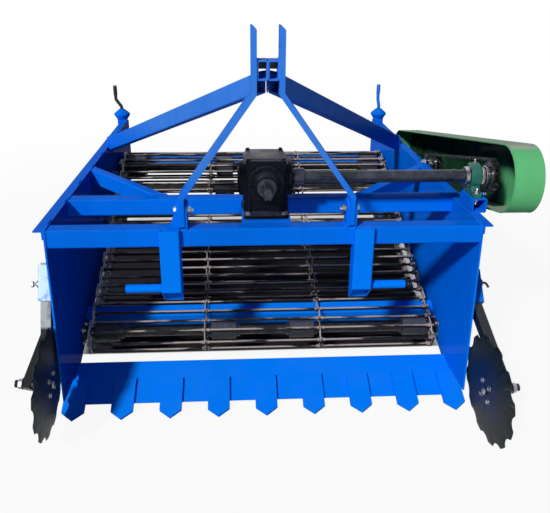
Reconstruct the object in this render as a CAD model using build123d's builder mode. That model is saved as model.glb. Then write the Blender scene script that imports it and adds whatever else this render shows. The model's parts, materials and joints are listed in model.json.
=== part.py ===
"""Mounted potato harvester: welded frame, digging blade, rod web, side discs and depth wheels.

X runs across the machine, positive to the chain side. Y runs back from the tractor. Z is up.
While it is built, X = 0 is the centreline, Y = 0 the front beam's front face and Z = 0 the ground.
On export every piece moves together, so that the origin is the centre of the footprint.
"""
from build123d import *
import math
import os

SIDES = (("left", -1), ("right", 1))
FIT = 0.3                       # gap left between a round piece and its hole

# Main frame
FRAME_TOP = 700.0
HALF_WIDTH = 700.0              # centreline to a side plate's outer face
PLATE_THICK = 6.0
PLATE_INNER = HALF_WIDTH - PLATE_THICK
PLATE_REAR = 1813.0
PLATE_FOOT_AHEAD = 22.0         # how far the front edge leans forward at its foot
PLATE_FOOT_Z = 88.0
PLATE_LOW_EDGE = (              # y and z of the lower edge's corners, from behind the blade back
    (230.0, 78.0),
    (420.0, 140.0),
    (1500.0, 445.0),
    (PLATE_REAR, 490.0),
)
BEAM = 60.0
BEAM_WALL = 5.0
TUBE_CORNER = 1.2               # outer corner radius of a square tube, in wall thicknesses
GEARBOX_BEAM_FRONT = 315.0
REAR_BEAM_FRONT = 1650.0
REAR_BEAM_LOW = 478.0
RAIL = 30.0
RAIL_WALL = 5.0
GUSSET_WIDTH = 40.0
GUSSET_PLATE_Y = 765.0
GUSSET_BEAM_X = 374.0

# Three-point hitch, category 2 narrow
HITCH_LEG = 65.0
HITCH_LEG_X = 309.0
HITCH_LEG_AHEAD = 20.0
HITCH_LEG_FRONT_LOW = FRAME_TOP - 210.0
HITCH_LEG_REAR_LOW = FRAME_TOP - 268.0
LOWER_PIN_DIA = 28.0
LOWER_PIN_ROOT_DIA = 34.0
LOWER_PIN_CHAMFER = 3.0
LOWER_PIN_LENGTH = 120.0
LOWER_PIN_Z = FRAME_TOP - 208.0
MAST_GAP = 66.0
MAST_THICK = 17.0
MAST_WIDTH = 70.0
MAST_TOP = FRAME_TOP + 606.0
MAST_BEND_Z = FRAME_TOP + 416.0
MAST_CHAMFER = 12.0
MAST_FOOT_X = 268.0
MAST_FOOT_BEND_Z = FRAME_TOP + 100.0
MAST_FOOT_LOW = FRAME_TOP + 8.0
TOP_PIN_BORE = 25.5
TOP_PIN_Z = MAST_TOP - 66.0
LUG_THICK = 8.0
LUG_HEIGHT = 88.0
LUG_BOLT_DIA = 16.0
LUG_BOLT_Z = FRAME_TOP + 53.0
BOLT_HEAD_ACROSS = 1.5          # across the flats of a head, in bolt diameters
BOLT_HEAD_HEIGHT = 0.65
BOLT_NUT_HEIGHT = 0.8
BOLT_END = 0.9                  # how far a bolt stands out past its lug, in bolt diameters
SPACER_LOW = TOP_PIN_Z - 86.0
SPACER_HEIGHT = 58.0
BRACE_WIDTH = 40.0
BRACE_HEIGHT = 60.0
BRACE_TOP_X = 24.0
BRACE_PARTING = 9.0              # gap between the braces' upper ends
BRACE_TOP_Z = SPACER_LOW - 16.0
BRACE_FOOT_Y = 1190.0

# Gearbox and side drive
DRIVE_Z = FRAME_TOP + 113.0
DRIVE_Y = 190.0
MOUNT_PLATE = 8.0
BOX_WIDTH = 144.0
MOUNT_WIDTH = BOX_WIDTH + 16.0
BOX_FRONT = 105.0
BOX_BACK = 275.0
BOX_TOP = DRIVE_Z + 67.0
BOX_CORNER = 14.0
BOX_FLANGE = 14.0
BOX_FLANGE_OUT = 18.0           # how far the foot flange stands out in front and behind
COVER_THICK = 12.0
COVER_INSET = 6.0               # how far the cover stands back from the box's sides
COVER_CORNER = 10.0
INPUT_DIA = 34.9
INPUT_SHOULDER_DIA = 45.0
INPUT_FRONT = -25.0
INPUT_CHAMFER = 2.0
INPUT_LENGTH = 80.0
INPUT_BOSS_RADIUS = 42.0
SIDE_BOSS_RADIUS = 58.0
BOSS_LENGTH = 42.0
BOSS_ROOT = 13.0                # how deep a boss is let into the box
BOSS_BORE_DEPTH = 36.0
SHAFT_DIA = 42.0
SUPPORT_TUBE = 50.0
SUPPORT_X = HALF_WIDTH + 25.0
SUPPORT_LENGTH = 130.0
BLOCK_LENGTH = 126.0
BLOCK_WIDTH = 30.0
BLOCK_FOOT = 16.0
BLOCK_WALL = 24.0
BLOCK_NECK = 72.0
BLOCK_X = SUPPORT_X - (SUPPORT_TUBE - BLOCK_WIDTH) / 2
CHAIN_X = HALF_WIDTH + 76.0
CHAIN_WIDTH = 24.0
CHAIN_HEIGHT = 14.0
SPROCKET_THICK = 11.0
DRIVE_SPROCKET_R = 54.0
DRIVEN_SPROCKET_R = 68.0
IDLER_R = 30.0
IDLER_Y = 816.0
IDLER_SHAFT_DIA = 25.0
TENSIONER_WIDTH = 36.0
GUARD_INNER = CHAIN_X + 12.0
GUARD_OUTER = CHAIN_X + 109.0
GUARD_SHEET = 3.0
GUARD_FRONT = (127.0, DRIVE_Z + 6.0, 114.0)     # y, z and radius of the front round
GUARD_REAR = (1500.0, 556.0, 140.0)             # y, z and radius of the rear round
GUARD_STAY_DIA = 16.0
GUARD_STAY_PLACES = (480.0, 1150.0)

# Blade
BLADE_ANGLE = 23.0
BLADE_FRONT = 44.0
BLADE_LENGTH = 180.0
BLADE_HALF_WIDTH = HALF_WIDTH + 21.0
BLADE_THICK = 10.0
BLADE_BEVEL = 7.0
TOOTH_COUNT = 9
TOOTH_WIDTH = 78.0
TOOTH_THICK = 10.0
TOOTH_AHEAD = 68.0
TOOTH_POINT = 31.0              # length of the pointed end
TOOTH_LAP = 97.0                # how far a tooth lies on the blade
TOOTH_PITCH = (2 * BLADE_HALF_WIDTH - TOOTH_WIDTH) / (TOOTH_COUNT - 1)
EAR_SETBACK = 3.0               # from a tooth's rear edge to the ear behind it
BLADE_EAR_THICK = 8.0
BLADE_EAR_HIGH = 155.0
BLADE_EAR_TOP = 36.0            # length of an ear's upper edge

# Rod web: y, z and radius of the rods' path round each end
WEB_FRONT = (304.0, 140.0, 43.0)
WEB_REAR = (1425.0, 527.0, 70.0)
WEB_ROD_DIA = 11.0
WEB_PITCH = 50.0
WEB_HALF_WIDTH = PLATE_INNER - 24.0
WEB_OUTER_LINK_X = WEB_HALF_WIDTH - 9.0
WEB_INNER_LINK_X = 223.0
WEB_LINK_WIDTH = 18.0
WEB_LINK_THICK = 4.0
ROLLER_OUTER_X = WEB_OUTER_LINK_X - 59.0
ROLLER_INNER_X = 152.0
ROLLER_WIDTH = 95.0
ROLLER_SHAFT_DIA = 35.0
DRIVE_SHAFT_DIA = 40.0
ROLLER_DIA = 72.0
FRONT_ROLLER_Y = 336.0
SUPPORT_ROLLER_Y = 1210.0
DRIVE_WHEEL_WIDTH = 84.0
CROSS_TUBE_Y = 422.0
BEARING_FLANGE_RADIUS = 44.0
BEARING_FLANGE_THICK = 10.0
BEARING_RADIUS = 31.0
BEARING_THICK = 26.0

# Side discs
DISC_RADIUS = 185.0
DISC_THICK = 5.0
DISC_NOTCHES = 12
DISC_NOTCH_RADIUS = 36.0
DISC_NOTCH_OUT = 20.0           # from the disc's edge out to the centre of a notch
DISC_CAMBER = 3.0
DISC_TOE = {"left": 0.0, "right": 3.5}
DISC_X = HALF_WIDTH + 18.0
DISC_PLACES = {"left": (-98.0, 207.0), "right": (-178.0, 190.5)}    # y and z of the centre
DISC_AXLE_DIA = 25.0
DISC_HUB_RADIUS = 25.0
DISC_HUB_INSIDE = 12.0          # hub on the disc's inner side
DISC_HUB_END = 8.0              # closed end of the hub
DISC_HUB_GAP = 14.0
DISC_AXLE_PAST = 26.0           # how far the axle stands out past the shank
SHANK = 35.0
SHANK_CORNER = 3.0
SHANK_FOOT_X = DISC_X + 58.0
SHANK_BEND_DROP = {"left": 120.0, "right": 14.0}    # from the sleeve's lower end to the bend
SHANK_STUB = 8.0                # how far a shank stands out above its sleeve
SLEEVE_WALL = 7.0
SLEEVE = SHANK + 2 * (SLEEVE_WALL + FIT)
SLEEVE_PAD = 12.0               # thickness of the pad between a sleeve and the side plate
SLEEVE_PAD_WIDTH = 80.0
SLEEVE_LENGTH = 120.0
SLEEVE_PLACES = {"left": (100.0, 478.0), "right": (111.0, 427.0)}   # y and z of the centre
SLEEVE_RAKE = {"left": 25.5, "right": 40.5}     # how far a sleeve's lower end leans forward

# Depth wheels
POST = 50.0
POST_WALL = 4.0
POST_Y = 1800.0
POST_LOW = 455.0
POST_HIGH = FRAME_TOP + 10.0
COLLAR_HEIGHT = 52.0
COLLAR_PROFILE = (              # radius and height of the collar's corners
    (30.0, 0.0),
    (43.0, 20.0),
    (43.0, 28.0),
    (15.0, COLLAR_HEIGHT),
)
LEG = 40.0
LEG_WALL = 4.0
LEG_HIGH = FRAME_TOP - 90.0
LEG_CAP = 12.0
WHEEL_RADIUS = 200.0
TYRE_WIDTH = 90.0
TYRE_SHOULDER = 27.0
RIM_RADIUS = 105.0
RIM_WIDTH = 64.0
RIM_THICK = 5.0
WHEEL_DISC_THICK = 6.0
WHEEL_HUB_RADIUS = 30.0
WHEEL_HUB_INSIDE = 2.0          # how far the hub stands out past the tyre on the inner side
WHEEL_GAP = 2.0                 # running gap at each end of a hub
WHEEL_X = HALF_WIDTH + 107.0
WHEEL_AXLE_DIA = 25.0
AXLE_COLLAR_RADIUS = 22.5
AXLE_CAP_RADIUS = 20.0
AXLE_CAP_THICK = 8.0
CRANK_DIA = 18.0
CRANK_REACH = 210.0             # length of the crank screw inside the leg
CRANK_RISE = 13.0               # from the collar to the start of the crank's offset
CRANK_SLANT = 40.0              # height of the crank's offset
CRANK_TOP = POST_HIGH + 180.0
CRANK_THROWS = {"left": (-28.0, 0.0), "right": (0.0, 39.0)}    # across and back

pieces = []


def keep(builder, label):
    """Name a finished sub-part and put it with the others."""
    builder.part.label = label
    pieces.append(builder.part)


def tube_section(width, height, wall, tilt=0):
    """Draw a rectangular tube's section, with its rounded corners, in the open sketch."""
    outer = TUBE_CORNER * wall
    inner = (TUBE_CORNER - 1) * wall
    RectangleRounded(width, height, outer, rotation=tilt)
    RectangleRounded(width - 2 * wall, height - 2 * wall, inner, rotation=tilt, mode=Mode.SUBTRACT)


def run_plane(start, end):
    """Plane at start that faces end, with its X axis level."""
    along = Vector(*end) - Vector(*start)
    return Plane(origin=start, x_dir=along.cross(Vector(0, 0, 1)), z_dir=along)


def facing(point, direction):
    """Plane through a point; a split keeps the side that the direction points to."""
    return Plane(origin=point, z_dir=direction)


def cross_plane(y):
    """Upright plane across the machine, whose X and Y are the machine's X and Z."""
    return Plane(origin=(0, y, 0), x_dir=(1, 0, 0), z_dir=(0, -1, 0))


def belt_outline(front, rear, grow):
    """Draw the closed line round two circles, each larger than given by grow."""
    front_y, front_z, front_r = front
    rear_y, rear_z, rear_r = rear
    span = math.hypot(rear_y - front_y, rear_z - front_z)
    slope = math.degrees(math.atan2(rear_z - front_z, rear_y - front_y))
    lead = math.degrees(math.asin((rear_r - front_r) / span))
    upper = math.radians(slope + lead + 90)
    lower = math.radians(slope - lead - 90)
    big_front = front_r + grow
    big_rear = rear_r + grow
    front_top = (front_y + big_front * math.cos(upper), front_z + big_front * math.sin(upper))
    front_low = (front_y + big_front * math.cos(lower), front_z + big_front * math.sin(lower))
    rear_top = (rear_y + big_rear * math.cos(upper), rear_z + big_rear * math.sin(upper))
    rear_low = (rear_y + big_rear * math.cos(lower), rear_z + big_rear * math.sin(lower))
    nose = math.radians(slope + 180)
    tail = math.radians(slope)
    front_nose = (front_y + big_front * math.cos(nose), front_z + big_front * math.sin(nose))
    rear_tail = (rear_y + big_rear * math.cos(tail), rear_z + big_rear * math.sin(tail))
    Line(front_top, rear_top)
    ThreePointArc(rear_top, rear_tail, rear_low)
    Line(rear_low, front_low)
    ThreePointArc(front_low, front_nose, front_top)


def upper_run(front, rear, y, inset):
    """Height at y of a line that runs inset below the upper run."""
    front_y, front_z, front_r = front
    rear_y, rear_z, rear_r = rear
    span = math.hypot(rear_y - front_y, rear_z - front_z)
    slope = math.atan2(rear_z - front_z, rear_y - front_y) + math.asin((rear_r - front_r) / span)
    return front_z + (y - front_y) * math.tan(slope) + (front_r - inset) / math.cos(slope)


def blade_point(along, deep):
    """y and z of a point along the blade from its front edge and deep below its upper face."""
    y = BLADE_FRONT + along * math.cos(slope) + deep * math.sin(slope)
    z = tip_drop + along * math.sin(slope) - deep * math.cos(slope)
    return y, z


# ---- Side plates, rails and cross beams -------------------------------------------------
roller_inset = (WEB_ROD_DIA + ROLLER_DIA) / 2 + FIT
front_roller_z = upper_run(WEB_FRONT, WEB_REAR, FRONT_ROLLER_Y, roller_inset)
support_roller_z = upper_run(WEB_FRONT, WEB_REAR, SUPPORT_ROLLER_Y, roller_inset)
web_shafts = (                  # y, z and diameter
    (FRONT_ROLLER_Y, front_roller_z, ROLLER_SHAFT_DIA),
    (SUPPORT_ROLLER_Y, support_roller_z, ROLLER_SHAFT_DIA),
    (WEB_REAR[0], WEB_REAR[1], DRIVE_SHAFT_DIA),
)
slope = math.radians(BLADE_ANGLE)
tip_drop = TOOTH_AHEAD * math.sin(slope)
plate_outline = (               # y and z, from the top front corner round by the foot
    (0, FRAME_TOP),
    (-PLATE_FOOT_AHEAD, PLATE_FOOT_Z),
    blade_point((PLATE_FOOT_Z - tip_drop) / math.sin(slope), 0),
    blade_point(BLADE_LENGTH, 0),
    blade_point(BLADE_LENGTH, BLADE_THICK),
    *PLATE_LOW_EDGE,
    (PLATE_REAR, FRAME_TOP),
)
for side_name, side in SIDES:
    with BuildPart() as side_plate:
        with BuildSketch(Plane.YZ.offset(side * PLATE_INNER)):
            with BuildLine():
                Polyline(*plate_outline, close=True)
            make_face()
            for shaft_y, shaft_z, shaft_dia in web_shafts:
                with Locations((shaft_y, shaft_z)):
                    Circle(shaft_dia / 2 + FIT, mode=Mode.SUBTRACT)
        extrude(amount=side * PLATE_THICK)
    keep(side_plate, f"{side_name}_side_plate")

    with BuildPart() as top_rail:
        with BuildSketch(cross_plane(0)):
            with BuildLine():
                Polyline(
                    (side * HALF_WIDTH, FRAME_TOP),
                    (side * (HALF_WIDTH + RAIL), FRAME_TOP),
                    (side * (HALF_WIDTH + RAIL), FRAME_TOP - RAIL_WALL),
                    (side * (HALF_WIDTH + RAIL_WALL), FRAME_TOP - RAIL_WALL),
                    (side * (HALF_WIDTH + RAIL_WALL), FRAME_TOP - RAIL),
                    (side * HALF_WIDTH, FRAME_TOP - RAIL),
                    close=True,
                )
            make_face()
        extrude(amount=-(POST_Y - POST / 2))
    keep(top_rail, f"{side_name}_top_rail")

cross_beams = (                 # name, y of the front face, z of the underside
    ("front_beam", 0, FRAME_TOP - BEAM),
    ("gearbox_beam", GEARBOX_BEAM_FRONT, FRAME_TOP - BEAM),
    ("rear_beam", REAR_BEAM_FRONT, REAR_BEAM_LOW),
)
for beam_name, beam_front, beam_low in cross_beams:
    with BuildPart() as cross_beam:
        with BuildSketch(Plane.YZ.offset(-PLATE_INNER)):
            with Locations((beam_front + BEAM / 2, beam_low + BEAM / 2)):
                tube_section(BEAM, BEAM, BEAM_WALL)
        extrude(amount=2 * PLATE_INNER)
    keep(cross_beam, beam_name)

for side_name, side in SIDES:
    plate_end = (side * PLATE_INNER, GUSSET_PLATE_Y, FRAME_TOP - BEAM / 2)
    beam_end = (side * GUSSET_BEAM_X, GEARBOX_BEAM_FRONT + BEAM, FRAME_TOP - BEAM / 2)
    gusset_run = math.dist(plate_end, beam_end)
    with BuildPart() as corner_gusset:
        with BuildSketch(run_plane(plate_end, beam_end)):
            tube_section(GUSSET_WIDTH, BEAM, RAIL_WALL)
        extrude(amount=gusset_run + BEAM)
        with BuildSketch(run_plane(plate_end, beam_end)):
            tube_section(GUSSET_WIDTH, BEAM, RAIL_WALL)
        extrude(amount=-BEAM)
        split(bisect_by=facing(plate_end, (-side, 0, 0)), keep=Keep.TOP)
        split(bisect_by=facing(beam_end, (0, 1, 0)), keep=Keep.TOP)
    keep(corner_gusset, f"{side_name}_corner_gusset")

# ---- Hitch legs, pins and mast -----------------------------------------------------------
leg_centre_y = HITCH_LEG / 2 - HITCH_LEG_AHEAD
leg_cut_normal = (0, HITCH_LEG_FRONT_LOW - HITCH_LEG_REAR_LOW, HITCH_LEG)
mast_centre_y = BEAM / 2
for side_name, side in SIDES:
    with BuildPart() as hitch_leg:
        with BuildSketch(Plane.XY.offset(HITCH_LEG_REAR_LOW)):
            with Locations((side * HITCH_LEG_X, leg_centre_y)):
                tube_section(HITCH_LEG, HITCH_LEG, BEAM_WALL)
        extrude(amount=FRAME_TOP - HITCH_LEG_REAR_LOW)
        with BuildSketch(Plane.YZ.offset(side * HITCH_LEG_X)):
            with Locations((BEAM / 2, FRAME_TOP - BEAM / 2)):
                Rectangle(BEAM, BEAM)
        extrude(amount=HITCH_LEG, both=True, mode=Mode.SUBTRACT)
        split(bisect_by=facing((0, -HITCH_LEG_AHEAD, HITCH_LEG_FRONT_LOW), leg_cut_normal), keep=Keep.TOP)
        with BuildSketch(Plane.YZ.offset(side * HITCH_LEG_X)):
            with Locations((leg_centre_y, LOWER_PIN_Z)):
                Circle(LOWER_PIN_ROOT_DIA / 2 + FIT)
        extrude(amount=HITCH_LEG, both=True, mode=Mode.SUBTRACT)
    keep(hitch_leg, f"{side_name}_hitch_leg")

    with BuildPart() as mast_bar:
        with BuildSketch(cross_plane(mast_centre_y - MAST_WIDTH / 2)):
            with BuildLine():
                Polyline(
                    (side * MAST_FOOT_X, MAST_FOOT_LOW),
                    (side * MAST_FOOT_X, MAST_FOOT_BEND_Z),
                    (side * (MAST_GAP + MAST_THICK) / 2, MAST_BEND_Z),
                    (side * (MAST_GAP + MAST_THICK) / 2, MAST_TOP),
                )
            trace(line_width=MAST_THICK)
        extrude(amount=-MAST_WIDTH)
        top_edges = mast_bar.edges().filter_by(Axis.Y).group_by(Axis.Z)[-1]
        chamfer(top_edges.sort_by(Axis.X)[-1], MAST_CHAMFER)
        with BuildSketch(Plane.YZ):
            with Locations((mast_centre_y, TOP_PIN_Z)):
                Circle(TOP_PIN_BORE / 2)
        extrude(amount=side * (MAST_GAP / 2 + 2 * MAST_THICK), mode=Mode.SUBTRACT)
        with BuildSketch(Plane.YZ.offset(side * MAST_FOOT_X)):
            with Locations((mast_centre_y, LUG_BOLT_Z)):
                Circle(LUG_BOLT_DIA / 2 + FIT)
        extrude(amount=MAST_THICK, both=True, mode=Mode.SUBTRACT)
    keep(mast_bar, f"{side_name}_mast_bar")

pin_steps = (                   # distance from the leg's middle to the step's start, length, diameter
    (-HITCH_LEG / 2, HITCH_LEG, LOWER_PIN_ROOT_DIA),
    (HITCH_LEG / 2, LOWER_PIN_LENGTH, LOWER_PIN_DIA),
)
with BuildPart() as lower_hitch_pins:
    for side_name, side in SIDES:
        for step_start, step_length, step_dia in pin_steps:
            with BuildSketch(Plane.YZ.offset(side * (HITCH_LEG_X + step_start))):
                with Locations((leg_centre_y, LOWER_PIN_Z)):
                    Circle(step_dia / 2)
            extrude(amount=side * step_length)
    pin_ends = lower_hitch_pins.faces().filter_by(Plane.YZ).sort_by(Axis.X)
    chamfer(pin_ends[0].edges() + pin_ends[-1].edges(), LOWER_PIN_CHAMFER)
keep(lower_hitch_pins, "lower_hitch_pins")

with BuildPart() as mast_lugs:
    for side_name, side in SIDES:
        for lug_face in (MAST_FOOT_X - MAST_THICK / 2 - LUG_THICK, MAST_FOOT_X + MAST_THICK / 2):
            with BuildSketch(Plane.YZ.offset(side * lug_face)):
                with Locations((mast_centre_y, FRAME_TOP)):
                    Rectangle(BEAM, LUG_HEIGHT - BEAM / 2, align=(Align.CENTER, Align.MIN))
                with Locations((mast_centre_y, FRAME_TOP + LUG_HEIGHT - BEAM / 2)):
                    Circle(BEAM / 2)
                with Locations((mast_centre_y, LUG_BOLT_Z)):
                    Circle(LUG_BOLT_DIA / 2 + FIT, mode=Mode.SUBTRACT)
            extrude(amount=side * LUG_THICK)
keep(mast_lugs, "mast_lugs")

with BuildPart() as mast_spacer:
    spacer_width = MAST_GAP / 2 - FIT
    for spacer_x in (-MAST_GAP / 4, MAST_GAP / 4):
        with BuildSketch(cross_plane(0)):
            with Locations((spacer_x, SPACER_LOW + SPACER_HEIGHT / 2)):
                tube_section(spacer_width, SPACER_HEIGHT, BEAM_WALL)
        extrude(amount=-BEAM)
keep(mast_spacer, "mast_spacer")

with BuildPart() as mast_bolts:
    grip = MAST_THICK + 2 * LUG_THICK
    head_height = BOLT_HEAD_HEIGHT * LUG_BOLT_DIA
    half_flats = BOLT_HEAD_ACROSS * LUG_BOLT_DIA / 2
    for side_name, side in SIDES:
        head_plane = Plane.YZ.offset(side * (MAST_FOOT_X + grip / 2 + head_height))
        with BuildSketch(head_plane):
            with Locations((mast_centre_y, LUG_BOLT_Z)):
                RegularPolygon(half_flats, 6, major_radius=False)
        extrude(amount=-side * head_height)
        with BuildSketch(head_plane):
            with Locations((mast_centre_y, LUG_BOLT_Z)):
                Circle(LUG_BOLT_DIA / 2)
        extrude(amount=-side * (head_height + grip + BOLT_END * LUG_BOLT_DIA))
        with BuildSketch(Plane.YZ.offset(side * (MAST_FOOT_X - grip / 2))):
            with Locations((mast_centre_y, LUG_BOLT_Z)):
                RegularPolygon(half_flats, 6, major_radius=False)
        extrude(amount=-side * BOLT_NUT_HEIGHT * LUG_BOLT_DIA)
keep(mast_bolts, "mast_bolts")

mast_rear = mast_centre_y + MAST_WIDTH / 2
for side_name, side in SIDES:
    brace_top = (side * BRACE_TOP_X, mast_rear, BRACE_TOP_Z)
    brace_foot = (side * PLATE_INNER, BRACE_FOOT_Y, FRAME_TOP)
    brace_run = math.dist(brace_top, brace_foot)
    with BuildPart() as rear_brace:
        with BuildSketch(run_plane(brace_top, brace_foot)):
            tube_section(BRACE_WIDTH, BRACE_HEIGHT, RAIL_WALL)
        extrude(amount=brace_run + 2 * BRACE_HEIGHT)
        with BuildSketch(run_plane(brace_top, brace_foot)):
            tube_section(BRACE_WIDTH, BRACE_HEIGHT, RAIL_WALL)
        extrude(amount=-2 * BRACE_HEIGHT)
        split(bisect_by=facing((side * BRACE_PARTING / 2, 0, 0), (side, 0, 0)), keep=Keep.TOP)
        split(bisect_by=facing(brace_top, (0, 1, 0)), keep=Keep.TOP)
        split(bisect_by=facing(brace_foot, (-side, 0, 0)), keep=Keep.TOP)
    keep(rear_brace, f"{side_name}_rear_brace")

# ---- Gearbox and side drive --------------------------------------------------------------
with BuildPart() as gearbox_mount:
    with BuildSketch(cross_plane(BEAM)):
        with Locations((0, FRAME_TOP)):
            Rectangle(MOUNT_WIDTH, MOUNT_PLATE, align=(Align.CENTER, Align.MAX))
        for leg_x in (-BOX_WIDTH / 2, BOX_WIDTH / 2):
            with Locations((leg_x, FRAME_TOP)):
                Rectangle(MOUNT_PLATE, BEAM, align=(Align.CENTER, Align.MAX))
    extrude(amount=-(GEARBOX_BEAM_FRONT - BEAM))
keep(gearbox_mount, "gearbox_mount")

box_middle_y = (BOX_FRONT + BOX_BACK) / 2
box_depth = BOX_BACK - BOX_FRONT
with BuildPart() as gearbox_housing:
    with BuildSketch(Plane.XY.offset(FRAME_TOP)):
        with Locations((0, box_middle_y)):
            RectangleRounded(BOX_WIDTH + 2, box_depth + 2 * BOX_FLANGE_OUT, COVER_CORNER)
    extrude(amount=BOX_FLANGE)
    with BuildSketch(Plane.XY.offset(FRAME_TOP)):
        with Locations((0, box_middle_y)):
            RectangleRounded(BOX_WIDTH, box_depth, BOX_CORNER)
    extrude(amount=BOX_TOP - FRAME_TOP)
    with BuildSketch(cross_plane(BOX_FRONT + BOSS_ROOT)):
        with Locations((0, DRIVE_Z)):
            Circle(INPUT_BOSS_RADIUS)
    extrude(amount=BOSS_LENGTH + BOSS_ROOT)
    with BuildSketch(Plane.YZ):
        with Locations((DRIVE_Y, DRIVE_Z)):
            Circle(SIDE_BOSS_RADIUS)
    extrude(amount=BOX_WIDTH / 2 + BOSS_LENGTH / 2, both=True)
    with BuildSketch(cross_plane(BOX_FRONT - BOSS_LENGTH)):
        with Locations((0, DRIVE_Z)):
            Circle(INPUT_SHOULDER_DIA / 2 + FIT)
    extrude(amount=-BOSS_BORE_DEPTH, mode=Mode.SUBTRACT)
    with BuildSketch(Plane.YZ.offset(BOX_WIDTH / 2 + BOSS_LENGTH / 2)):
        with Locations((DRIVE_Y, DRIVE_Z)):
            Circle(SHAFT_DIA / 2 + FIT)
    extrude(amount=-BOSS_BORE_DEPTH, mode=Mode.SUBTRACT)
keep(gearbox_housing, "gearbox_housing")

with BuildPart() as gearbox_cover:
    with BuildSketch(Plane.XY.offset(BOX_TOP)):
        with Locations((0, box_middle_y)):
            RectangleRounded(BOX_WIDTH - 2 * COVER_INSET, box_depth, COVER_CORNER)
    extrude(amount=COVER_THICK)
keep(gearbox_cover, "gearbox_cover")

input_back = BOX_FRONT - BOSS_LENGTH + BOSS_BORE_DEPTH
with BuildPart() as input_shaft:
    with BuildSketch(cross_plane(INPUT_FRONT)):
        with Locations((0, DRIVE_Z)):
            Circle(INPUT_DIA / 2)
    extrude(amount=-INPUT_LENGTH)
    with BuildSketch(cross_plane(INPUT_FRONT + INPUT_LENGTH)):
        with Locations((0, DRIVE_Z)):
            Circle(INPUT_SHOULDER_DIA / 2)
    extrude(amount=-(input_back - INPUT_FRONT - INPUT_LENGTH))
    chamfer(input_shaft.faces().sort_by(Axis.Y)[0].edges(), INPUT_CHAMFER)
keep(input_shaft, "input_shaft")

shaft_start = BOX_WIDTH / 2 + BOSS_LENGTH / 2 - BOSS_BORE_DEPTH
shaft_end = CHAIN_X + SPROCKET_THICK
with BuildPart() as output_shaft:
    with BuildSketch(Plane.YZ.offset(shaft_start)):
        with Locations((DRIVE_Y, DRIVE_Z)):
            Circle(SHAFT_DIA / 2)
    extrude(amount=shaft_end - shaft_start)
keep(output_shaft, "output_shaft")

support_top = FRAME_TOP + SUPPORT_TUBE
with BuildPart() as bearing_support:
    with BuildSketch(cross_plane(DRIVE_Y - SUPPORT_LENGTH / 2)):
        with Locations((SUPPORT_X, FRAME_TOP + SUPPORT_TUBE / 2)):
            tube_section(SUPPORT_TUBE, SUPPORT_TUBE, RAIL_WALL)
    extrude(amount=-SUPPORT_LENGTH)
keep(bearing_support, "bearing_support")

with BuildPart() as shaft_bearing_block:
    with BuildSketch(Plane.YZ.offset(BLOCK_X - BLOCK_WIDTH / 2)):
        with Locations((DRIVE_Y, support_top)):
            Rectangle(BLOCK_LENGTH, BLOCK_FOOT, align=(Align.CENTER, Align.MIN))
        with Locations((DRIVE_Y, DRIVE_Z)):
            Circle(SHAFT_DIA / 2 + BLOCK_WALL)
        with Locations((DRIVE_Y, support_top)):
            Rectangle(BLOCK_NECK, (DRIVE_Z - support_top) / 2, align=(Align.CENTER, Align.MIN))
        with Locations((DRIVE_Y, DRIVE_Z)):
            Circle(SHAFT_DIA / 2 + FIT, mode=Mode.SUBTRACT)
    extrude(amount=BLOCK_WIDTH)
keep(shaft_bearing_block, "shaft_bearing_block")

front_sprocket = (DRIVE_Y, DRIVE_Z, DRIVE_SPROCKET_R)
rear_sprocket = (WEB_REAR[0], WEB_REAR[1], DRIVEN_SPROCKET_R)
idler_z = upper_run(front_sprocket, rear_sprocket, IDLER_Y, IDLER_R)
chain_sprockets = (             # name, y, z, radius of the chain on it, shaft diameter
    ("drive_sprocket", DRIVE_Y, DRIVE_Z, DRIVE_SPROCKET_R, SHAFT_DIA),
    ("idler_sprocket", IDLER_Y, idler_z, IDLER_R, IDLER_SHAFT_DIA),
    ("driven_sprocket", WEB_REAR[0], WEB_REAR[1], DRIVEN_SPROCKET_R, DRIVE_SHAFT_DIA),
)
for sprocket_name, sprocket_y, sprocket_z, sprocket_r, sprocket_bore in chain_sprockets:
    with BuildPart() as sprocket:
        with BuildSketch(Plane.YZ.offset(CHAIN_X - SPROCKET_THICK / 2)):
            with Locations((sprocket_y, sprocket_z)):
                Circle(sprocket_r - CHAIN_HEIGHT / 2 - FIT)
                Circle(sprocket_bore / 2 + FIT, mode=Mode.SUBTRACT)
        extrude(amount=SPROCKET_THICK)
    keep(sprocket, sprocket_name)

with BuildPart() as drive_chain:
    with BuildSketch(Plane.YZ.offset(CHAIN_X - CHAIN_WIDTH / 2)):
        with BuildLine():
            belt_outline(front_sprocket, rear_sprocket, CHAIN_HEIGHT / 2)
        make_face()
        with BuildLine():
            belt_outline(front_sprocket, rear_sprocket, -CHAIN_HEIGHT / 2)
        make_face(mode=Mode.SUBTRACT)
    extrude(amount=CHAIN_WIDTH)
keep(drive_chain, "drive_chain")

tensioner_low = min(FRAME_TOP, idler_z) - RAIL
tensioner_high = max(FRAME_TOP, idler_z + RAIL)
with BuildPart() as chain_tensioner:
    with BuildSketch(Plane.YZ.offset(HALF_WIDTH + RAIL)):
        with Locations((IDLER_Y, tensioner_low)):
            Rectangle(TENSIONER_WIDTH, tensioner_high - tensioner_low, align=(Align.CENTER, Align.MIN))
    extrude(amount=LUG_THICK)
    with BuildSketch(Plane.YZ.offset(HALF_WIDTH + RAIL)):
        with Locations((IDLER_Y, idler_z)):
            Circle(IDLER_SHAFT_DIA / 2)
    extrude(amount=CHAIN_X + SPROCKET_THICK - HALF_WIDTH - RAIL)
keep(chain_tensioner, "chain_tensioner")

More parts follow.
